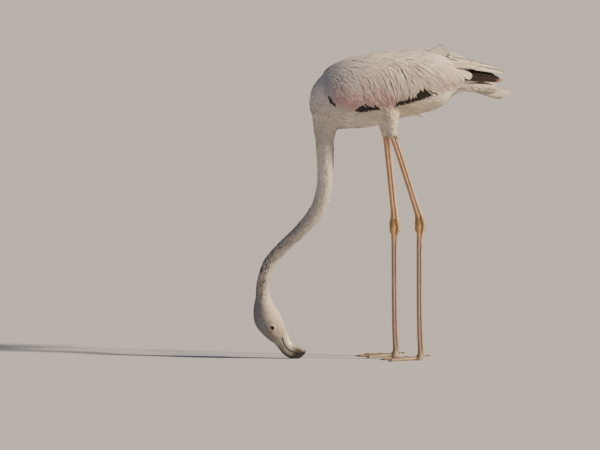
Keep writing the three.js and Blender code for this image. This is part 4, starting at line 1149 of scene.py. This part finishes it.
COVERT_STEPS, PLUME_STEPS, PLUME_APART, SHORTEST_PLUME = 10, 14, 4.8, 16
WING_END, WING_END_ROUND = 236, (687, 8)  # x of the hindmost coverts; z and depth of that round
PLUME = ([0, 0.12, 0.5, 0.8, 0.93, 1], [0.5, 0.85, 1, 0.82, 0.5, 0.12])
for name, out_way in (("left", -1), ("right", 1)):
    roots, t, turn = wing_places(out_way, 14000, covert_apart)
    wrist = ramp(-roots[:, 0], 40, 135)
    top = ramp(roots[:, 2], 695, 722)
    size = rng.uniform(0.85, 1.15, len(roots)) * (46 - 28 * wrist - 2 * top + 14 * ramp(roots[:, 0], 140, 190))
    ragged_edge = rng.uniform(-1.0, 4.5, len(roots))

    def beyond(p, slack=ragged_edge):
        """True below the fringe on this side, and behind the rounded end of the wing."""
        under = (p[:, 2] < np.interp(p[:, 0], *FRINGE.T) + slack) & (p[:, 1] * out_way > 12)
        middle, depth = WING_END_ROUND
        return under | (p[:, 0] > WING_END - ((p[:, 2] - middle) / depth) ** 2 + 1.6 * slack)

    laid = lay(roots, size, wing_lie, COVERT_STEPS, beyond, fine=15, sway=7.0)
    *laid, roots, t, turn, size, wrist = pass_on(laid[2] > SHORTEST, [*laid, roots, t, turn, size, wrist])
    u = np.linspace(0, 1, COVERT_STEPS)[None, :]
    calm = ramp(-roots[:, 0], 15, 95)[:, None]  # they lie flatter towards the wrist
    high = 0.8 + 1.6 * wrist[:, None] + (4.4 - 2.2 * calm) * u ** 0.75
    coverts = vanes(f"coverts_{name}", laid, np.interp(size, [15, 45], [3.9, 4.9]), high, markings(roots + [0, 0, 8]),
                    seats(t, turn), cols=4, roof=0.6, tilt=0.09, splits=0.08, outline=PLUME, shade=(0.9, 1.0))
    finish_coat(coverts, contour_keratin)
    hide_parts(f"wing_{name}")

    # long narrow plumes streaming over them, their tips hanging past the edge
    roots, t, turn = wing_places(out_way, 12000, lambda p: np.full(len(p), PLUME_APART), 0.3)
    inner = (roots[:, 0] > -66) & (roots[:, 0] < 196) & (roots[:, 2] < 724) & (roots[:, 2] > 622)
    roots, t, turn = pass_on(inner, (roots, t, turn))
    size = rng.uniform(0.7, 1.2, len(roots)) * np.interp(roots[:, 0], [-66, -20, 20, 190], [40, 68, 84, 84])
    ragged_edge = rng.uniform(-9.0, 5.0, len(roots))
    laid = lay(roots, size, wing_lie, PLUME_STEPS, lambda p: beyond(p, ragged_edge), fine=20, sway=5.0)
    *laid, roots, t, turn = pass_on(laid[2] > SHORTEST_PLUME, [*laid, roots, t, turn])
    tones = markings(laid[0][:, 5]) * rng.uniform(0.86, 1.08, len(roots))[:, None]  # coloured as they lie
    high = 2.6 + 3.8 * np.linspace(0, 1, PLUME_STEPS)[None, :] ** 0.7
    high = high * (1 - 0.3 * ramp(-roots[:, 0], 10, 60)[:, None])
    plumes = vanes(f"plumes_{name}", laid, rng.uniform(1.5, 3.3, len(roots)), high, tones, seats(t, turn),
                   cols=4, roof=0.3, tilt=0.2, splits=0.08, outline=PLUME, shade=(0.84, 1.05))
    finish_coat(plumes, contour_keratin)

# ---- Flight feathers --------------------------------------------------------------
# Stiff quills laid like a closed fan: black secondaries under the coverts, black
# primaries behind them, and long pale tertials that roof the stack over the rump.
FLIGHT_BLACK, FLIGHT_BROWN = linear("#131112"), linear("#2c211f")
QUILL_MARGIN, QUILL_TIP = linear("#6b564b"), linear("#c9a79c")
STIFF = ([0, 0.06, 0.45, 0.8, 0.93, 1], [0.35, 0.8, 1, 0.9, 0.55, 0.1])
SECONDARY_COUNT, SECONDARY_STEPS, PRIMARY_STEPS = 34, 12, 24
PRIMARY_TIPS = [  # from the longest, lowest one up: x, and how far each strays upwards
    (288, 0), (279, -1.4), (280, 1.0), (272, -1.2), (270, 1.2), (262, -0.8), (264, 1.4), (255, -1.0), (248, 0.6)]
TERTIALS = [  # root, tip, half width
    ((132, 36, 707), (258, 15, 696), 5.4), ((130, 36, 711), (295, 11, 687), 4.8),
    ((122, 32, 721), (274, 9, 700), 4.4), ((118, 33, 719), (252, 13, 703), 5.0),
    ((134, 33, 714), (262, 12, 694), 5.0), ((126, 29, 722), (264, 8, 702), 4.6),
    ((128, 30, 716), (242, 17, 705), 5.0), ((120, 22, 726), (240, 7, 708), 4.8),
    ((140, 37, 706), (236, 21, 700), 5.0)]
TERTIAL_EDGE_SHADE = 1 - 0.55 * np.array([1, 0.2, 0, 0, 0.25, 0, 0, 0, 0])  # painted shade along the inner edge, where the tertials part, and a little down the middle
LONG_STEPS = 26
# The dark pigment makes black quills harder and glossier than white ones.
flight_keratin = keratin("black_flight_keratin", 0.46, 0.9, 0.08, 0.35, 0.05)
tertial_keratin = keratin("pale_tertial_keratin", 0.66, 1.1, 0.12, -0.12, 0.12)


def quills(name, rows, count, **kind):
    """Stiff feathers given one by one: root, tip, outward normal, half width, and how
    far the middle stands over the straight line."""
    root, tip, out, half, arch = (np.array([row[k] for row in rows], float) for k in range(5))
    u = np.linspace(0, 1, count)[None, :, None]
    points = root[:, None] * (1 - u) + tip[:, None] * u
    points = points + UP * (arch[:, None, None] * (u - u ** 2) * 4)
    normals = unit(np.broadcast_to(out[:, None], points.shape))
    seat = seats(np.arange(len(rows)) % 5 / 4, np.arange(len(rows)) // 5 / max(1, (len(rows) - 1) // 5))
    return vanes(name, (points, normals), half, lambda u: 0.15 + 0 * u, kind.pop("tones"), seat, outline=STIFF,
                 ragged=kind.pop("ragged", 0.03), tilt=0.02, **kind)


for name, out_way in (("left", -1), ("right", 1)):
    # secondaries: laid on the flank under the covert fringe, their tips along the edge
    along = np.linspace(0.0, 1.0, SECONDARY_COUNT)
    edge = run(QUILL_EDGE)(along)
    start = np.stack([edge[:, 0] - 26, 0 * along, edge[:, 1] + 30], -1)
    flank = np.interp(start[:, 2], [560, 600, 640, 700], [52, 66, 74, 70])
    start[:, 1] = out_way * flank

    def quill_lie(p):
        """Back and down, flattest at the front."""
        down = deg(1) * np.interp(p[:, 0], [-110, -30, 40, 130], [30, 50, 58, 50])
        return np.stack([np.cos(down), 0 * down, -np.sin(down)], -1)

    loose = rng.uniform(-1.0, 1.6, len(start))
    laid = lay(start, np.full(len(start), 62.0), quill_lie, SECONDARY_STEPS,
               lambda p: p[:, 2] < np.interp(p[:, 0], *QUILL_EDGE.T) + loose, fine=18, sway=2.0)
    tones = blend(FLIGHT_BLACK, FLIGHT_BROWN, rng.uniform(0, 0.5, len(start)))
    high = (2.6 + 3.2 * np.linspace(0, 1, SECONDARY_STEPS)) * (1 - 0.55 * ramp(-start[:, 0], 0, 80)[:, None])
    secondaries = vanes(f"secondary_quills_{name}", laid, np.full(len(start), 5.6), high, tones,
                        seats(along, np.arange(len(along)) % 3 / 2), cols=6, roof=0.6, outline=STIFF,
                        tilt=0.06, ragged=0.06)
    finish_coat(secondaries, flight_keratin)
    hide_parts(f"secondaries_{name}")

    rows = [((188 - 3 * k, out_way * (30 - 1.2 * k), 676 + 2.8 * k),
             (tip_x, out_way * (16.5 - 0.8 * k), 669 + 3.1 * k + stray),
             (0.1, out_way, 0.3 - 0.05 * k), 5.6, 1.2) for k, (tip_x, stray) in enumerate(PRIMARY_TIPS)]
    tones = blend(FLIGHT_BLACK, FLIGHT_BROWN, rng.uniform(0.1, 0.8, len(rows)))
    tones = np.broadcast_to(tones[:, None, None], (len(rows), PRIMARY_STEPS, 9, 3)).copy()
    tones = blend(tones, QUILL_MARGIN, 0.3 * np.abs(np.linspace(-1, 1, 9)) ** 6 + np.zeros(tones.shape[:3]))
    tones[0, -5:] = blend(tones[0, -5:], QUILL_TIP, np.linspace(0, 1, 5)[:, None] * np.ones(9) * 0.95)
    primaries = quills(f"primary_quills_{name}", rows, PRIMARY_STEPS, tones=tones, cols=8, roof=0.5, splits=0.04)
    finish_coat(primaries, flight_keratin)
    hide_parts(f"primaries_{name}")

    mirror = np.array([1, out_way, 1])
    rows = [(root * mirror, tip * mirror, (0.12, out_way * 0.9, 0.5), half, 2.0) for root, tip, half in TERTIALS]
    tones = blend(WHITE, CREAM, rng.uniform(0.0, 0.6, len(rows)))[:, None, None]
    tones = tones * rng.uniform(0.84, 1.0, (len(rows), 1, 1, 1))
    tones = tones * TERTIAL_EDGE_SHADE[None, None, :, None] * np.ones((1, LONG_STEPS, 1, 1))
    tertials = quills(f"tertial_plumes_{name}", rows, LONG_STEPS, tones=tones, cols=8, roof=1.3, splits=0.05,
                      shade=(0.8, 1.0))
    finish_coat(tertials, tertial_keratin)
    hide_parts(f"tertials_{name}")

# ---- Tail -------------------------------------------------------------------------
# Twelve white tail feathers in a shallow drooping fan, the middle pair on top, their
# bases wrapped above and below by soft tail coverts.
rows = []
for i in sorted(np.arange(12) - 5.5, key=lambda i: -abs(i)):
    lean = deg(11.5) * i
    rows.append(((176, i * 2.2, 669 - 1.5 * abs(i)),
                 (312 - 0.8 * abs(i) ** 1.6, 21 * math.sin(lean), 643 - 13 * (1 - math.cos(lean))),
                 (0.12, math.sin(lean * 1.1), math.cos(lean * 1.1)), 10.5, -5.5 + 0.9 * abs(i)))
rows.append(((214, -13, 650), (297, -16, 626), (0.1, -1, 0.1), 4.6, -3.0))  # one hanging loose
tones = blend(WHITE, CREAM, rng.uniform(0.1, 0.5, len(rows)))
tail_fan = quills("tail_fan", rows, LONG_STEPS, tones=tones, cols=8, roof=0.8, splits=0.04, shade=(0.92, 1.0))
finish_coat(tail_fan, tertial_keratin)
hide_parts("tail")


def tail_lie(p):
    """Straight back along the tail."""
    return np.array([1.0, 0, -0.22]) + 0 * p


t, walked = even_shares(tail_ring, (0.02, 0.46), 4.6)
roots, share, around = rows_on(tail_ring, t, 5.0, 2.5)
roots[:, 2] -= TAIL_DROOP * (roots[:, 1] / TAIL_DROOP_WIDTH) ** 2
size = rng.uniform(26, 40, len(roots)) * np.interp(share, [0, 0.46], [1, 0.8])
tail_coverts = vanes("tail_coverts", lay(roots, size, tail_lie, 8), size * 0.15, lambda u: 0.3 + 3.4 * u,
                     blend(WHITE, CREAM, 0.25 + 0.5 * ramp(-roots[:, 2], -662, -640)), seats(walked(share), around),
                     cols=4, roof=0.6, tilt=0.14, splits=0.08)
finish_coat(tail_coverts, contour_keratin)

# ---- Ruffled and stray feathers -----------------------------------------------------
# A tuft lifted off the back behind the shoulders, and single feathers that have
# slipped out of place on rump, back and belly. The tuft has two tiers: one sweeps up
# to a ragged peak, whiter with painted light, and one fills the step down behind it, duller with painted shade.
# painted light: a little whiter than the plumage's white, for the tuft raised into the key light
TUFT_LIT_WHITE = linear("#efe9df")
count = 170
along, side, tier = rng.uniform(0, 1, count), rng.uniform(-1, 1, count), np.arange(count) % 2
root = nearest(np.stack([96 + 26 * along + 24 * tier, -13 + 13 * side, 741 + 0 * along], -1))[0]
tip_x = 127 + 21 * along + 14 * tier
peak = np.where(tier == 1, 755 - 21 * along, 758 - 9 * ((tip_x - 139) / 11) ** 2)
tip = np.stack([tip_x, -13 + 8 * side, peak - 3.5 * side ** 2 + rng.uniform(-4.0, 1.5, count)], -1)
out = np.stack([0.15 + 0 * along, 1.2 * side - 0.3, 0.7 + 0 * along], -1)
# painted shade: the lower tier in the step behind the peak is dulled towards the brown of DUSK
tones = blend(TUFT_LIT_WHITE, DUSK, tier * rng.uniform(0.0, 0.3, count))
rows = list(zip(root, tip, out, rng.uniform(3.2, 6.0, count), -1.5 - 2.5 * (1 - tier)))
ruffle = quills("ruffled_tuft", rows, 12, tones=tones, cols=6, roof=0.3, splits=0.12, ragged=0.2, shade=(0.95, 1.04))
finish_coat(ruffle, contour_keratin)

# The black hook that shows at the fold of each wing.
HOOK = np.array([  # root x, y, z, length, half width
    (-133, 66, 636, 15, 2.0), (-129, 66, 631, 13, 2.4), (-131, 66, 626, 12, 1.9),
    (-124, 66, 622, 13, 2.3), (-121, 66, 618, 11, 1.7)])
for name, out_way in (("left", -1), ("right", 1)):
    roots = HOOK[:, :3] * [1, out_way, 1]
    hook = vanes(f"wrist_hook_{name}", lay(roots, HOOK[:, 3], lambda p: np.array([0.75, 0, -0.6]) + 0 * p, 8),
                 HOOK[:, 4], lambda u: 5.0 + 2.2 * u, np.tile(FLIGHT_BLACK, (len(HOOK), 1)),
                 seats(roots[:, 0], roots[:, 2]), cols=4, roof=0.5, tilt=0.05)
    finish_coat(hook, flight_keratin)

strays = quills("stray_feathers", [
    ((150, -14, 741), (184, -20, 735), (0.2, -0.2, 1), 3.0, -2.0),
    ((160, -22, 736), (196, -26, 727), (0.2, -0.5, 1), 3.2, -1.0),
    ((205, -20, 707), (217, -22, 720), (-0.6, -0.7, 0.4), 1.8, 0.0),
    ((60, -26, 592), (99, -30, 583), (0.1, -0.8, -0.6), 3.2, 2.0),
    ((52, 30, 591), (88, 36, 584), (0.1, 0.8, -0.6), 3.0, 2.0),
    ((150, 20, 738), (178, 26, 729), (0.2, 0.4, 1), 2.8, -1.0)],
    14, tones=blend(WHITE, CREAM, np.array([0, 0.1, 0, 0.5, 0.5, 0.1])), cols=4, roof=0.6, splits=0.1)
finish_coat(strays, contour_keratin)
